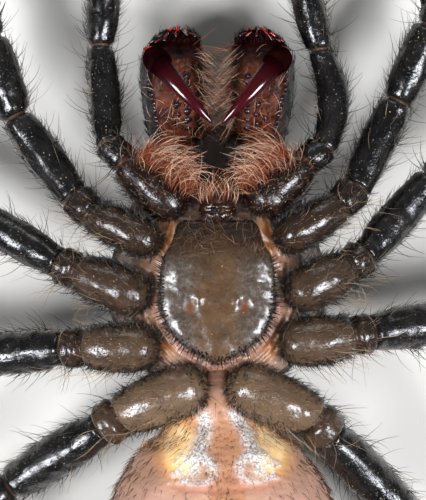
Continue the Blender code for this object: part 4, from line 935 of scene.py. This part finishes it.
s = np.linspace(0, 1, 90)[:, None]
bend_point = FANG_ROOT + FANG_AIM * 2.0 + [0.25, 0.15, 0.0]
fang_path = (1 - s) ** 2 * FANG_ROOT + 2 * s * (1 - s) * bend_point + s**2 * FANG_TIP
fang_along = unit(2 * (1 - s) * (bend_point - FANG_ROOT) + 2 * s * (FANG_TIP - bend_point))
fang_across = unit(np.cross(fang_along, UP))
fang_other = np.cross(fang_across, fang_along)
fang_radius = 0.5 * np.clip(1 - s, 0, 1) ** 0.7 + 0.045 * (1 - s**8) + 0.012
turns = np.arange(56) * 2 * np.pi / 56
# The blade is a little flattened, most on its inner edge.
keel = 0.93 + 0.04 * np.cos(2 * turns) - 0.04 * np.cos(turns)
fang_ring = (np.cos(turns)[:, None] * fang_across[:, None]
             + FANG_FLATNESS * np.sin(turns)[:, None] * fang_other[:, None])
left_fang = fang_path[:, None] + fang_ring * (fang_radius * keel)[..., None]
# The collar is an oval swelling round the root, widest at its middle.
t = np.linspace(0, 1, 34)[:, None]
inside, face = FANG_ROOT - FANG_AIM * 1.0 - [0, 0, 0.9], FANG_ROOT + FANG_AIM * 0.5
collar_ring = np.cos(turns)[:, None] * fang_across[0] + np.sin(turns)[:, None] * fang_other[0]
collar_radius = COLLAR_RADIUS * np.sqrt(np.clip(1 - (2 * t - 1) ** 2, 0.05, 1))
left_collar = (inside + (face - inside) * t)[:, None] + collar_ring * collar_radius[..., None]
for side, mirror in MIRROR.items():
    blade = ring_skin(f"fang_{side}_blade", left_fang * mirror, fang_cuticle, {"run": s})
    fit(blade, "fang", f"fang_{side}")
    collar = ring_skin(f"fang_{side}_socket", left_collar * mirror, jaw_cuticle, {"flesh": 0.0, "rim": 1.0})
    fit(collar, "chelicera cuticle")


# Waist and abdomen
# A soft, plump bag of skin, narrowed to a waist in front, tan on the belly and browner on the back. Two
# silvery stripes lead to the pale-rimmed covers of the book lungs, with a yellow gland beside each.

ABDOMEN_FRONT_Y, ABDOMEN_YAW = -5.8, np.radians(-2.0)
MARKS_SHIFT = 0.33  # how far the marks lie to the left of its middle
LUNG_X, LUNG_Y = 1.4, -8.4
ABDOMEN_ROWS = np.array((  # y, half width, lowest and highest z
    (-3.75, 0.1, 6.3, 6.6), (-3.77, 0.4, 6.0, 6.72), (-4.45, 0.7, 5.6, 6.85), (-4.75, 0.95, 5.0, 6.85),
    (-5.0, 1.15, 4.4, 6.75), (-5.3, 1.45, 3.8, 6.6), (-5.7, 1.8, 3.1, 6.45), (-6.15, 2.1, 2.4, 6.4),
    (-6.8, 2.6, 1.6, 6.7), (-7.8, 3.8, 0.75, 7.3), (-9.2, 4.75, 0.15, 7.85), (-10.8, 5.35, -0.07, 8.4),
    (-12.6, 5.7, -0.07, 8.85), (-14.4, 5.6, -0.07, 8.95), (-16.2, 4.95, 0.1, 8.6), (-17.7, 3.9, 0.8, 7.9),
    (-18.8, 2.6, 1.9, 6.9), (-19.4, 1.4, 3.0, 5.9), (-19.6, 0.6, 3.8, 5.1),
))[::-1]

abdomen_skin, tree, shader = new_finish("abdomen_skin", 0.0, 0.3, subsurface=0.2, sheen=0.1)
shader.inputs["Specular IOR Level"].default_value = 0.3
place = add_node(tree, "TexCoord", {}, "Object")
masks = {key: add_node(tree, "Attribute", {}, "Fac", attribute_name=key) for key in ("back", "stripe",
                                                                                     "silver", "warm",
                                                                                     "gland", "edge",
                                                                                     "rosy", "waist")}
cloud = add_node(tree, "TexNoise", {"Vector": place, "Scale": 1 / (1.6 * MM), "Detail": 5.0,
                                    "Roughness": 0.6})
part = add_node(tree, "MapRange", {"Value": cloud, "From Min": 0.35, "From Max": 0.65})
tan = add_node(tree, "Mix", {0: part, 6: linear("9C7560"), 7: linear("B68C72")}, data_type="RGBA")
brown = add_node(tree, "Mix", {0: part, 6: linear("4A3426"), 7: linear("6C4E3A")}, data_type="RGBA")
creamy = add_node(tree, "MapRange", {"Value": cloud, "From Min": 0.42, "From Max": 0.6})
lobes = add_node(tree, "Mix", {0: creamy, 6: linear("FFC470"), 7: linear("FFDCA6")}, data_type="RGBA")
net = add_node(tree, "TexVoronoi", {"Vector": place, "Scale": 1 / (0.16 * MM)}, feature="DISTANCE_TO_EDGE")
mesh_line = add_node(tree, "MapRange", {"Value": net, "From Min": 0.3, "From Max": 0.08})
patchy = add_node(tree, "TexNoise", {"Vector": place, "Scale": 1 / (0.3 * MM), "Detail": 3.0})
thick = add_node(tree, "MapRange", {"Value": patchy, "From Min": 0.4, "From Max": 0.52})
web = add_node(tree, "Math", {0: mesh_line, 1: thick}, operation="MAXIMUM")
netted = add_node(tree, "Math", {0: web, 1: masks["silver"]}, operation="MULTIPLY")
grains = add_node(tree, "TexNoise", {"Vector": place, "Scale": 1 / (0.11 * MM), "Detail": 1.0})
grainy = add_node(tree, "MapRange", {"Value": grains, "From Min": 0.4, "From Max": 0.56})
silver = add_node(tree, "Mix", {0: grainy, 6: linear("96918C"), 7: linear("D6D2CE")}, data_type="RGBA")
colour = tan
for mask, over in ((masks["back"], brown), (masks["rosy"], linear("B48A78")),
                   (masks["stripe"], linear("A5714E")), (masks["warm"], linear("CC8440")),
                   (masks["gland"], lobes), (netted, silver),
                   (masks["waist"], linear("5A3A26")), (masks["edge"], linear("A8604A"))):
    colour = add_node(tree, "Mix", {0: mask, 6: colour, 7: over}, data_type="RGBA")
tree.links.new(colour, shader.inputs["Base Color"])
shine = add_node(tree, "MapRange", {"Value": netted, "To Min": 0.6, "To Max": 0.26})
tree.links.new(shine, shader.inputs["Roughness"])
pores = add_node(tree, "TexNoise", {"Vector": place, "Scale": 1 / (0.13 * MM), "Detail": 4.0,
                                    "Roughness": 0.65})
raised = add_node(tree, "Math", {0: netted, 1: 0.8, 2: pores}, operation="MULTIPLY_ADD")
relief = add_node(tree, "Bump", {"Height": raised, "Strength": 1.0, "Distance": 0.03 * MM})
tree.links.new(relief, shader.inputs["Normal"])


def abdomen_rings(ys, turn):
    """Points of the abdomen before it is swung: ovals in the rows' sizes, drawn to a point at its ends."""
    wide, low, high = (smooth_read(ys, ABDOMEN_ROWS[:, [0, i]])[:, None] for i in (1, 2, 3))
    tall = np.sign(np.sin(turn)) * np.abs(np.sin(turn)) ** 0.92
    x = wide * np.cos(turn)
    z = (low + high) / 2 + (high - low) / 2 * tall
    return np.stack([x, np.broadcast_to(ys[:, None], x.shape), z], axis=-1)


def swing(points):
    """The points turned about the waist, a little to the animal's left."""
    c, s = np.cos(ABDOMEN_YAW), np.sin(ABDOMEN_YAW)
    x, y = points[..., 0], points[..., 1] - ABDOMEN_FRONT_Y
    return np.stack([c * x + s * y, -s * x + c * y + ABDOMEN_FRONT_Y, points[..., 2]], axis=-1)


def hill(x, y, at_x, at_y, wide, long, power=2.0):
    """A smooth hill of height 1 on both sides: it falls with the distance from its middle, by a power."""
    return np.exp(-(np.hypot((np.abs(x) - at_x) / wide, (y - at_y) / long) ** power))


abdomen_ys = np.concatenate([-3.75 - 2.05 * np.linspace(0, 1, 44)[:-1] ** 1.5, np.linspace(-5.8, -10.2, 96),
                             np.linspace(-10.2, -18.4, 80)[1:],
                             -19.6 + 1.2 * np.linspace(1, 0, 26)[1:] ** 1.6])
abdomen_turn = np.arange(200) * 2 * np.pi / 200
bag = abdomen_rings(abdomen_ys, abdomen_turn)
bag_x, bag_y = bag[..., 0], bag[..., 1]
belly_side = np.clip(np.sin(abdomen_turn) * 3, 0, 1)
lung_x = (bag_x - MARKS_SHIFT) * (1 + 0.12 * ripple(bag, 0.6, 53))
lung = hill(lung_x, bag_y, LUNG_X, LUNG_Y, 0.7, 0.56, 5.0) * belly_side
lung_rim = hill(lung_x, bag_y, LUNG_X, LUNG_Y, 0.95, 0.8, 6.0) * belly_side - lung
lung_edge = hill(lung_x, bag_y, LUNG_X, LUNG_Y - 0.1, 1.1, 0.9, 8.0) * belly_side - lung_rim - lung
lung_edge = np.clip(lung_edge, 0, 1) * (bag_y < LUNG_Y - 0.1)
furrow = np.exp(-(((bag_y + 9.3 - 0.05 * bag_x**2) / 0.14) ** 2)) * belly_side
furrow = furrow * np.clip((2.9 - np.abs(bag_x)) / 1.2, 0, 1)
bag[..., 2] += 0.02 * lung + 0.1 * lung_rim - 0.05 * furrow
bag[..., 2] += 0.1 * hill(bag_x, bag_y, 2.0, -8.3, 0.95, 1.1) * belly_side
hub = bag.mean(axis=1, keepdims=True)
skin_creases = 0.05 * ripple(bag, 1.6, 51) + 0.01 * ripple(bag * [1, 1.6, 1], 0.5, 52)
bag = bag + unit(bag - hub) * skin_creases[..., None]
mark_x = np.abs(bag_x - MARKS_SHIFT * np.clip((-5.6 - bag_y) / 1.2, 0, 1))
stripe_half = np.interp(-bag_y, (5.8, 6.6, 7.5, 9.0), (0.4, 0.5, 0.76, 0.85))
line_x = np.interp(-bag_y, (5.4, 6.2, 7.6, 8.8), (0.55, 0.75, 1.28, 1.55))
abdomen_masks = {
    "back": np.clip(0.35 - np.sin(abdomen_turn) * 1.6 + 1.1 * np.clip((-10.8 - bag_y) / 4, 0, 1), 0, 1),
    "waist": 0.55 * np.clip((bag_y + 6.3) / 1.2, 0, 1) + 0.45 * np.clip((bag_y + 4.95) / 0.3, 0, 1),
    "stripe": np.clip((stripe_half - mark_x) / 0.22 + 0.5, 0, 1) * np.clip((bag_y + 12.5) / 3, 0, 0.8)
    * np.clip((-6.3 - bag_y) / 0.7, 0, 1) * belly_side,
    "silver": np.clip(1.25 * np.exp(-(((mark_x - line_x) / 0.34) ** 2)) * np.clip((bag_y + 8.9) / 0.4, 0, 1)
                      * np.clip((-5.5 - bag_y) / 0.5, 0, 1)
                      + 1.6 * lung_rim * np.clip((bag_y + 9.15) / 0.25, 0, 1)
                      - 0.3 * lung, 0, 1) * belly_side,
    "warm": np.clip(0.95 * hill(mark_x, bag_y, 2.3, -7.3, 0.95, 1.35, 3.0)
                    + 0.55 * hill(mark_x, bag_y, 1.2, -6.1, 1.3, 0.9), 0, 1) * belly_side,
    "gland": np.clip(1.9 * hill(mark_x, bag_y, 2.1, -7.4, 0.66, 1.0, 2.6), 0, 1) * belly_side,
    "edge": np.clip(0.8 * lung_edge + 0.25 * furrow, 0, 0.35),
    "rosy": np.clip((-8.9 - bag_y) / 1.0, 0, 0.8) * np.clip((mark_x - 1.2) / 1.5, 0.2, 1) * belly_side,
}
abdomen_bag = swing(bag)
fit(ring_skin("abdomen_bag", abdomen_bag, abdomen_skin, abdomen_masks), "abdomen skin", "abdomen",
    "pedicel")


# Spinnerets
# Four jointed fingers of soft skin at the abdomen's end that lay the silk: a long outer pair and a short
# inner one, each with a crown of fine spigots on its tip.

def belly_place(x, y):
    """A place on the abdomen's belly side, swung with it, and the way out of the skin there."""
    def height(x, y):
        """The belly side's height over x and y."""
        wide, low, high = (smooth_read(y, ABDOMEN_ROWS[:, [0, i]]) for i in (1, 2, 3))
        return (low + high) / 2 + (high - low) / 2 * (1 - (x / wide) ** 2) ** 0.46

    step = 0.05
    slope_x = (height(x + step, y) - height(x - step, y)) / (2 * step)
    slope_y = (height(x, y + step) - height(x, y - step)) / (2 * step)
    return swing(np.array([x, y, height(x, y)])), unit(np.array([-slope_x, -slope_y, 1.0]))


def stub(start, square_to, reach, radii, rows, columns, wrinkle=0.0):
    """Rings of a round tapered stub: its middle runs straight along reach from start, its rings turn from
    square to one direction to square to the reach by half way, and its radius is read from the radii."""
    t = np.linspace(0, 1, rows)[:, None]
    along = unit(unit(np.array(square_to, float)) * np.clip(1 - 2 * t, 0, 1)
                 + unit(reach) * np.clip(2 * t, 0, 1))
    side = unit(np.cross(along, [1.0, 0.1, 0.0]))
    other = np.cross(along, side)
    turn = np.arange(columns) * 2 * np.pi / columns
    circle = np.cos(turn)[:, None] * side[:, None] + np.sin(turn)[:, None] * other[:, None]
    radius = smooth_read(t, list(zip(np.linspace(0, 1, len(radii)), radii)))
    radius = radius * (1 + wrinkle * np.sin(t * np.linalg.norm(reach) * 2 * np.pi / 0.16))
    return start + t[..., None] * np.array(reach) + circle * radius[..., None]


spinneret_skins = {}
for side, sign in (("left", 1), ("right", -1)):
    root, out = belly_place(sign * 1.25, -18.6)
    reach = unit(out + [sign * 0.25, -1.1, 0.35]) * 2.15
    rings = stub(root - out * 0.15, out, reach + out * 0.3,
                 (0.5, 0.56, 0.57, 0.44, 0.51, 0.5, 0.4, 0.47, 0.44, 0.3, 0.05), 120, 60, 0.02)
    spinneret_skins[side] = rings
    fit(ring_skin(f"spinneret_{side}_skin", rings, abdomen_skin, {"back": 0.75}), "abdomen skin",
        f"spinneret_{side}")
    root, out = belly_place(sign * 0.45, -18.1)
    rings = stub(root - out * 0.2, out, out * 0.85 + [0, -0.45, 0],
                 (0.37, 0.37, 0.35, 0.33, 0.22, 0.04), 60, 48, 0.02)
    fit(ring_skin(f"small_spinneret_{side}_skin", rings, abdomen_skin, {"back": 0.75}), "abdomen skin")
    spinneret_skins["small_" + side] = rings


# Mouth fringe
# Thick, curved, rust-red hairs that line the maxillae and the lip. The spider strains its food through
# them, and they arch up and in over the mouth.

MOUTH = np.array([0.0, 6.3, 7.6])

fringe_hair = hair_finish("fringe_hair", "421508", "8E4218", "E6BEA0", 0.42, 0.3)


def grow(rings, count, weights, seeds, stand=1.0, lie=0.0, push=(0, 0, 0), stray=0.3, lean=(0.0, 1.0),
         aim=(0, 0, 0), aim_stray=0.0, bend=0.5, length=(0.3, 0.6), radius=0.014, waver=0.0, tint=0.3):
    """A group of hairs rooted at random over a skin, by a seed for the roots and a seed, or a generator
    that goes on, for the rest. A hair leaves by the sum of the way out times stand, the way down the skin
    times lie, the push, and a random stray. It bends towards the sum of the same two ways times lean's
    two shares, the aim and its stray."""
    root, out, down, flat = scatter(rings, count, weights, seeds[0])
    draw = np.random.default_rng(seeds[1])
    way = out * stand + down * lie + push + draw.normal(0, stray, (count, 3))
    lean = out * lean[0] + down * lean[1] + aim
    if aim_stray:
        lean = lean + draw.normal(0, aim_stray, (count, 3))
    return dict(root=root, way=way, lean=lean, bend=bend, length=draw.uniform(*length, count),
                radius=radius, flat=flat, waver=waver, tint=tint)


fringe_groups = []
for side, mirror in MIRROR.items():
    limb = limbs["palp_" + side]
    rings, number, share = limb["rings"], limb["number"], limb["share"]
    middle, out = cells(rings)[:2]
    # They grow on the upper half that faces the mouth, thickest on its edge.
    to_front = out[..., 1] * 0.8 - out[..., 0] * mirror[0] * 0.3
    lift = out[..., 2]
    band = np.exp(-(((to_front - 0.74) / 0.24) ** 2)) * (lift > 0.0)
    on_maxilla = ((number[:-1] == 0) & (share[:-1] < 0.86))[:, None] * (middle[..., 1] > 3.9)
    # A short, dark undercoat, then the long strands, which keep together in locks.
    for count, length, radius, bend, tint, seed in ((900, (0.45, 0.95), 0.022, 0.8, 0.1, 61),
                                                    (340, (0.7, 2.3), 0.0155, 1.8, 0.72, 62)):
        root, way, along, flat = scatter(rings, count, band * on_maxilla, seed)
        draw = np.random.default_rng(seed + 10)
        aim = unit(MOUTH - root)
        lock_lean = np.column_stack([ripple(root, 0.9, seed + 20 + axis) for axis in range(3)])
        fringe_groups.append(dict(root=root - way * 0.03,
                                  way=way + [0, 0.7, 0.2] + draw.normal(0, 0.25, (count, 3)),
                                  lean=aim * 1.2 + lock_lean * 0.5 + draw.normal(0, 0.35, (count, 3)),
                                  bend=bend, length=draw.uniform(*length, count), radius=radius, flat=flat,
                                  waver=0.06, tint=tint))
    # Finer ones sweep outwards and up over the jaw's root.
    upper = np.clip(lift, 0, 1) * np.clip((to_front - 0.1) / 0.3, 0, 1) * (number[:-1] == 0)[:, None]
    outward = np.array([0.2 * mirror[0], 1.0, 0.3])
    fringe_groups.append(grow(rings, 110, upper, (64, 65), push=outward * 0.6, lean=(0, 0),
                              aim=(-0.6 * mirror[0], 0.2, -0.2), aim_stray=0.5, bend=1.4, length=(0.6, 1.3),
                              radius=0.01, waver=0.05, tint=0.6))
middle, out = cells(lip)[:2]
fringe_groups.append(grow(lip, 120, (out[..., 1] > 0.2) * (middle[..., 1] > 3.6), (66, 67),
                          push=(0, 0.9, 0.6), lean=(0, 0), aim=(0, 1.0, 0.1), aim_stray=0.5, bend=1.3,
                          length=(0.7, 1.6), radius=0.018, waver=0.05, tint=0.6))
fit(coat("mouth_fringe", fringe_groups, fringe_hair, steps=8), "maxilla cuticle")


# Jaw hair
# Long pale hairs on the jaws' inner edges, which cross over the gap between them, shorter ones in the
# furrow, and a dark coat on the jaws' back.

leg_hair = hair_finish("leg_hair", "0A0807", "181310", "A88E70", 0.42, 0.15)

jaw_groups, back_groups = [], []
for side, mirror in MIRROR.items():
    rings = jaw_skins[side]
    out = cells(rings)[1]
    run = jaw_share[:-1]
    inner_face = np.clip(-out[..., 0] * mirror[0], 0, 1) ** 2 * (out[..., 2] > -0.2)
    # The long ones keep together in locks.
    root, way, along, flat = scatter(rings, 240, inner_face * ((run > 0.05) & (run < 0.88)), 71)
    draw = np.random.default_rng(72)
    lock = np.column_stack([ripple(root, 0.8, 74 + axis) for axis in range(3)]) * 0.5
    jaw_groups.append(dict(root=root, way=way + [0, -0.45, 0.35] + lock + draw.normal(0, 0.15, (240, 3)),
                           lean=lock - [0.3 * mirror[0], 1.0, 0.1] + draw.normal(0, 0.3, (240, 3)),
                           bend=0.5, length=draw.uniform(0.6, 1.9, 240), radius=0.014, flat=flat,
                           waver=0.03, tint=0.55))
    # The longest few reach across the gap between the jaws.
    draw = np.random.default_rng(78)
    near_tip = inner_face * ((run > 0.6) & (run < 0.9)) * (out[..., 2] > 0.1)
    jaw_groups.append(grow(rings, 18, near_tip, (77, draw), stand=0.0, push=(-0.9 * mirror[0], -0.75, 0.3),
                           stray=0.12, lean=(0, 0), aim=(0, -1.0, -0.2), aim_stray=0.3, bend=0.25,
                           length=(1.3, 2.2), radius=0.0125, tint=1.0))
    jaw_groups.append(grow(rings, 130, flesh[:-1] * (run < 0.55), (73, draw), push=(0, 0.6, 0), lean=(0, 0),
                           aim=(-0.3 * mirror[0], 0.3, 0), aim_stray=0.5, bend=1.2, length=(0.5, 1.4),
                           radius=0.012, waver=0.06, tint=0.55))
    back_area = ((out[..., 2] < 0.2) | (run > 0.86)) * (run > 0.05) * (1 + 2.0 * (run > 0.86))
    back_groups.append(grow(rings, 560, back_area, (74, 75), 0.5, 1.1, stray=0.2, length=(0.25, 0.6),
                            radius=0.016, tint=0.1))
fit(coat("jaw_hair", jaw_groups, fringe_hair, steps=5), "chelicera cuticle")
fit(coat("jaw_back_hair", back_groups, leg_hair, steps=4), "chelicera cuticle")


# Black bristles
# Short stiff bristles that stand along the sternum's edge, on the coxae's borders and on the soft skin
# beside them.

black_bristle = hair_finish("black_bristle", "080706", "15110F", "2A1D16", 0.3)

bristle_groups = []
turns = np.arange(0, 2 * np.pi, 0.055)
turns = turns[np.sin(turns) < 0.55]  # none along the front edge
draw = np.random.default_rng(81)
for inset_share, length in ((0.985, 0.5), (0.95, 0.42), (0.91, 0.3)):
    at = turns + draw.uniform(-0.02, 0.02, len(turns))
    inset_here = inset_share + draw.uniform(-0.02, 0.01, len(at))
    edge = np.interp(at, round_body, sternum_reach, period=2 * np.pi) * inset_here
    root = np.column_stack([STERNUM_MIDDLE[0] + edge * np.cos(at), STERNUM_MIDDLE[1] + edge * np.sin(at),
                            STERNUM_Z - smooth_read(np.full(len(at), inset_share), STERNUM_LEVELS) - 0.02])
    outward = np.column_stack([np.cos(at), np.sin(at), np.full(len(at), 0.3)])
    flat = np.column_stack([at / (2 * np.pi), np.full(len(at), inset_share)])
    bristle_groups.append(dict(root=root, way=outward + draw.normal(0, 0.2, (len(at), 3)),
                               lean=outward * [1, 1, -1], bend=0.4,
                               length=length * draw.uniform(0.7, 1.3, len(at)), radius=0.042, flat=flat,
                               tint=0.2))
for name, limb in limbs.items():
    rings, number, share = limb["rings"], limb["number"], limb["share"]
    out = cells(rings)[1]
    inner_end = 0.5 * (share[:-1] < 0.12)[:, None] * (out[..., 2] > 0)
    border = (np.exp(-(((out[..., 2] - 0.4) / 0.2) ** 2)) + inner_end) * (number[:-1] == 0)[:, None]
    bristle_groups.append(grow(rings, 150 if "palp" in name else 360, border, (82, 83), lie=0.35,
                               stray=0.25, length=(0.22, 0.45), radius=0.02, tint=0.2))
beside_plate = ((outside > 0.12) & (outside < 1.3))[:-1] * (wall_y[:-1] < 2.8)
root, way, along, flat = scatter(wall, 340, beside_plate, 84)
draw = np.random.default_rng(85)
radial = unit((root - [*STERNUM_MIDDLE, 0]) * [1, 1, 0])
bristle_groups.append(dict(root=root, way=way * 0.6 + radial * 0.8 + draw.normal(0, 0.3, (340, 3)),
                           lean=radial, bend=0.4, length=draw.uniform(0.15, 0.32, 340), radius=0.012,
                           flat=flat, tint=0.25))
fit(coat("black_bristles", bristle_groups, black_bristle, steps=3), "sternum cuticle")


# Leg hair
# A coat of fine dark hairs that lie towards the feet, thin on the belly side of the coxae, with longer
# ones that stand out, dark or pale, and long pale curved ones off the lower side of the coxae.

short_groups, long_groups = [], []
for limb_number, (name, limb) in enumerate(limbs.items()):
    rings, share = limb["rings"], limb["share"][:-1, None]
    rank = limb["number"][:-1, None]
    out = cells(rings)[1]
    belly_facing = np.clip(out[..., 2], 0, 1)
    density = np.where(rank == 0, 0.6 * (1 - belly_facing) ** 1.5, 1.0 - 0.95 * belly_facing)
    short_groups.append(grow(rings, 1100, density * (rings[:-1, :, 2] > 0.15),
                             (90 + limb_number, 110 + limb_number), 0.7, 1.0, stray=0.2, lean=(-0.2, 1.0),
                             bend=0.6, length=(0.35, 0.8), tint=0.25))
    sideways = np.where(rank == 0, 0.35, 1.0) * (1.15 - belly_facing) * (rings[:-1, :, 2] > 0.5)
    long_groups.append(grow(rings, 190, sideways, (130 + limb_number, 150 + limb_number), 1.0, 0.55,
                            stray=0.25, aim_stray=0.4, bend=0.6, length=(0.8, 1.7), radius=0.017,
                            waver=0.04, tint=0.5))
    # Fine pale hairs, curled over the belly side of the coxa and trochanter.
    draw = np.random.default_rng(230 + limb_number)
    long_groups.append(grow(rings, 200, (rank < 2) * belly_facing, (210 + limb_number, draw), 0.6, 1.0,
                            stray=0.4, aim=-UP * 0.4, aim_stray=0.5, bend=1.3, length=(0.25, 0.7),
                            radius=0.007, waver=0.05, tint=0.7))
    if "palp" not in name:
        outer_half = (rank == 0) & (share > 0.45) | (rank == 1)
        lower = outer_half * np.clip(-out[..., 1], 0, 1) * (out[..., 2] > 0)
        long_groups.append(grow(rings, 22, lower, (170 + limb_number, draw), 1.0, 0.8, push=UP * 0.3,
                                lean=(0.0, 0.3), aim=-UP, aim_stray=0.6, bend=1.0, length=(1.2, 2.2),
                                radius=0.015, waver=0.08, tint=1.0))
fit(coat("leg_hair_short_front", short_groups[:5], leg_hair, steps=4), "leg cuticle")
fit(coat("leg_hair_short_rear", short_groups[5:], leg_hair, steps=4), "leg cuticle")
fit(coat("leg_hair_long", long_groups, leg_hair, steps=6), "leg cuticle")


# Sternum hair
# Sparse fine brown hairs, looped over the front of the sternum, and very short ones all over it.

brown_hair = hair_finish("brown_hair", "2E1F16", "6B4A33", "9A7452", 0.4)

mostly_front = (plate_share[:-1] > 0.5) * (plate_y[:-1] > 1.0) + 0.06
sternum_hairs = [
    grow(plate, 150, mostly_front, (181, 182), stand=0.0, push=UP * 0.8, stray=0.5, lean=(0, 0),
         aim_stray=(1.0, 1.0, 0.2), bend=1.7, length=(0.6, 1.6), radius=0.013, waver=0.08, tint=0.4),
    grow(plate, 420, np.ones_like(mostly_front), (183, 184), stand=0.0, push=(0, -1, 0.5), stray=0.4,
         lean=(0, 0), aim=(0, -1, -0.3), aim_stray=0.2, bend=0.7, length=(0.12, 0.26), radius=0.01),
]
fit(coat("sternum_hair", sternum_hairs, brown_hair, steps=5), "sternum cuticle")


# Abdomen hair
# Velvet of short brown hairs that lie back, longer and golden at the front, darker along the sides, and
# close behind the lungs. The carapace's edge has a few of the same.

abdomen_hair = hair_finish("abdomen_hair", "38241A", "644630", "B07C48", 0.5, 0.25)

out = cells(abdomen_bag)[1]
x, y, high = np.abs(bag_x[:-1]), bag_y[:-1], abdomen_bag[:-1, :, 2]
belly_facing = np.clip(out[..., 2], 0, 1)
bare = np.clip(abdomen_masks["gland"] + abdomen_masks["silver"], 0, 1)[:-1]
furred = (high >= 0.15) * (1 - bare)
velvet = (1.0 - 0.88 * belly_facing * (y > -10.0)) * furred
golden_front = (y > -7.4) * (high > 2.5) * (mark_x[:-1] > 0.6) * (1.3 - belly_facing)
abdomen_groups = []
for count, length, radius, tint, weights, seed in (
    (6200, (0.3, 0.6), 0.012, 0.4, velvet, 191),
    (900, (0.5, 1.0), 0.011, 0.85, golden_front, 193),
    (500, (0.5, 1.1), 0.014, 0.4, (1.0 - belly_facing) * furred, 195),
):
    abdomen_groups.append(grow(abdomen_bag, count, weights, (seed, seed + 1), 0.55, 1.0, stray=0.18,
                               lean=(-0.2, 1.0), bend=0.7, length=length, radius=radius, tint=tint))
stripe_area = (x < 0.8) * (y > -10.5) * (out[..., 2] > 0.4) * (y < -6.6)
abdomen_groups.append(grow(abdomen_bag, 150, stripe_area, (197, 198), 1.0, 0.6, bend=1.0,
                           length=(0.22, 0.42), radius=0.013, tint=0.1))
for rings in spinneret_skins.values():
    abdomen_groups.append(grow(rings, 130, np.ones(rings[:-1, :, 0].shape), (199, 200), 0.8, 1.0, stray=0.2,
                               bend=0.6, length=(0.25, 0.5), radius=0.015, tint=0.4))
fit(coat("abdomen_hair", abdomen_groups, abdomen_hair, steps=4), "abdomen skin")
rear_and_sides = (np.clip((-10.0 - y) / 2.5, 0, 1) + np.clip(0.6 - out[..., 2], 0, 1)) * furred
rear_group = grow(abdomen_bag, 7000, rear_and_sides, (211, 212), 0.5, 1.0, stray=0.2, lean=(-0.2, 1.0),
                  bend=0.6, length=(0.35, 0.75), radius=0.016)
fit(coat("abdomen_rear_hair", [rear_group], abdomen_hair, steps=4), "abdomen skin")

shell_edge = (cells(shell)[1][..., 2] < 0.2) * (shell[:-1, :, 2] > 0.35)
shell_group = grow(shell, 900, shell_edge, (201, 202), 0.5, 1.0, bend=0.6, length=(0.2, 0.5))
fit(coat("carapace_hair", [shell_group], abdomen_hair, steps=4), "carapace cuticle")


# The studio
# A plain pale floor, two soft lamps on either side of the tail end, a weak one ahead of the jaws, and the
# camera straight above the belly, as the photograph was taken.

FLOOR_HALF = 1.5  # metres

floor_finish = bpy.data.materials.new("painted_floor")
floor_finish.use_nodes = True
tree = floor_finish.node_tree
shader = tree.nodes["Principled BSDF"]
shader.inputs["Roughness"].default_value = 0.75
place = add_node(tree, "TexCoord", {}, "Object")
paint = add_node(tree, "TexNoise", {"Vector": place, "Scale": 60.0, "Detail": 3.0})
shade = add_node(tree, "Mix", {0: paint, 6: linear("CFCBC4"), 7: linear("D6D2CB")}, data_type="RGBA")
tree.links.new(shade, shader.inputs["Base Color"])
floor_mesh = bpy.data.meshes.new("floor")
corners = [(x * FLOOR_HALF, y * FLOOR_HALF, 0) for x, y in ((-1, -1), (1, -1), (1, 1), (-1, 1))]
floor_mesh.from_pydata(corners, [], [(0, 1, 2, 3)])
floor_mesh.materials.append(floor_finish)
floor = bpy.data.objects.new("floor", floor_mesh)
bpy.context.scene.collection.objects.link(floor)

world = bpy.data.worlds.new("studio")
bpy.context.scene.world = world
world.use_nodes = True
world.node_tree.nodes["Background"].inputs["Color"].default_value = linear("DCE2E8")
world.node_tree.nodes["Background"].inputs["Strength"].default_value = 0.16


def soft_lamp(name, place, width, height, watts, colour):
    """A flat lamp of that size at that place, both in millimetres, turned to the sternum."""
    lamp = bpy.data.lights.new(name, "AREA")
    lamp.shape = "RECTANGLE"
    lamp.size, lamp.size_y = width * MM, height * MM
    lamp.energy = watts
    lamp.color = linear(colour)[:3]
    holder = bpy.data.objects.new(name, lamp)
    bpy.context.scene.collection.objects.link(holder)
    place = np.array(place, float)
    holder.location = place * MM
    aim = bpy.context.scene.cursor.location.copy()
    aim[:] = (np.array([0.0, -REST_Y, 6.0]) - place) * MM
    holder.rotation_mode = "QUATERNION"
    holder.rotation_quaternion = aim.to_track_quat("-Z", "Y")


for name, lamp_x in (("lamp_left", -88), ("lamp_right", 88)):
    soft_lamp(name, (lamp_x, -52, 130), 56, 56, 0.37, "F4F8FF")
soft_lamp("lamp_ahead", (0, 190, 70), 90, 50, 0.05, "FFFFFF")
bpy.context.scene.view_settings.view_transform = "Standard"

camera_data = bpy.data.cameras.new("camera")
camera_data.lens = 238
camera_data.sensor_width = 36
camera_data.clip_start, camera_data.clip_end = 0.01, 10.0
camera = bpy.data.objects.new("camera", camera_data)
camera.location = (-0.0002, -0.0014, 0.1573)
bpy.context.scene.collection.objects.link(camera)
bpy.context.scene.camera = camera
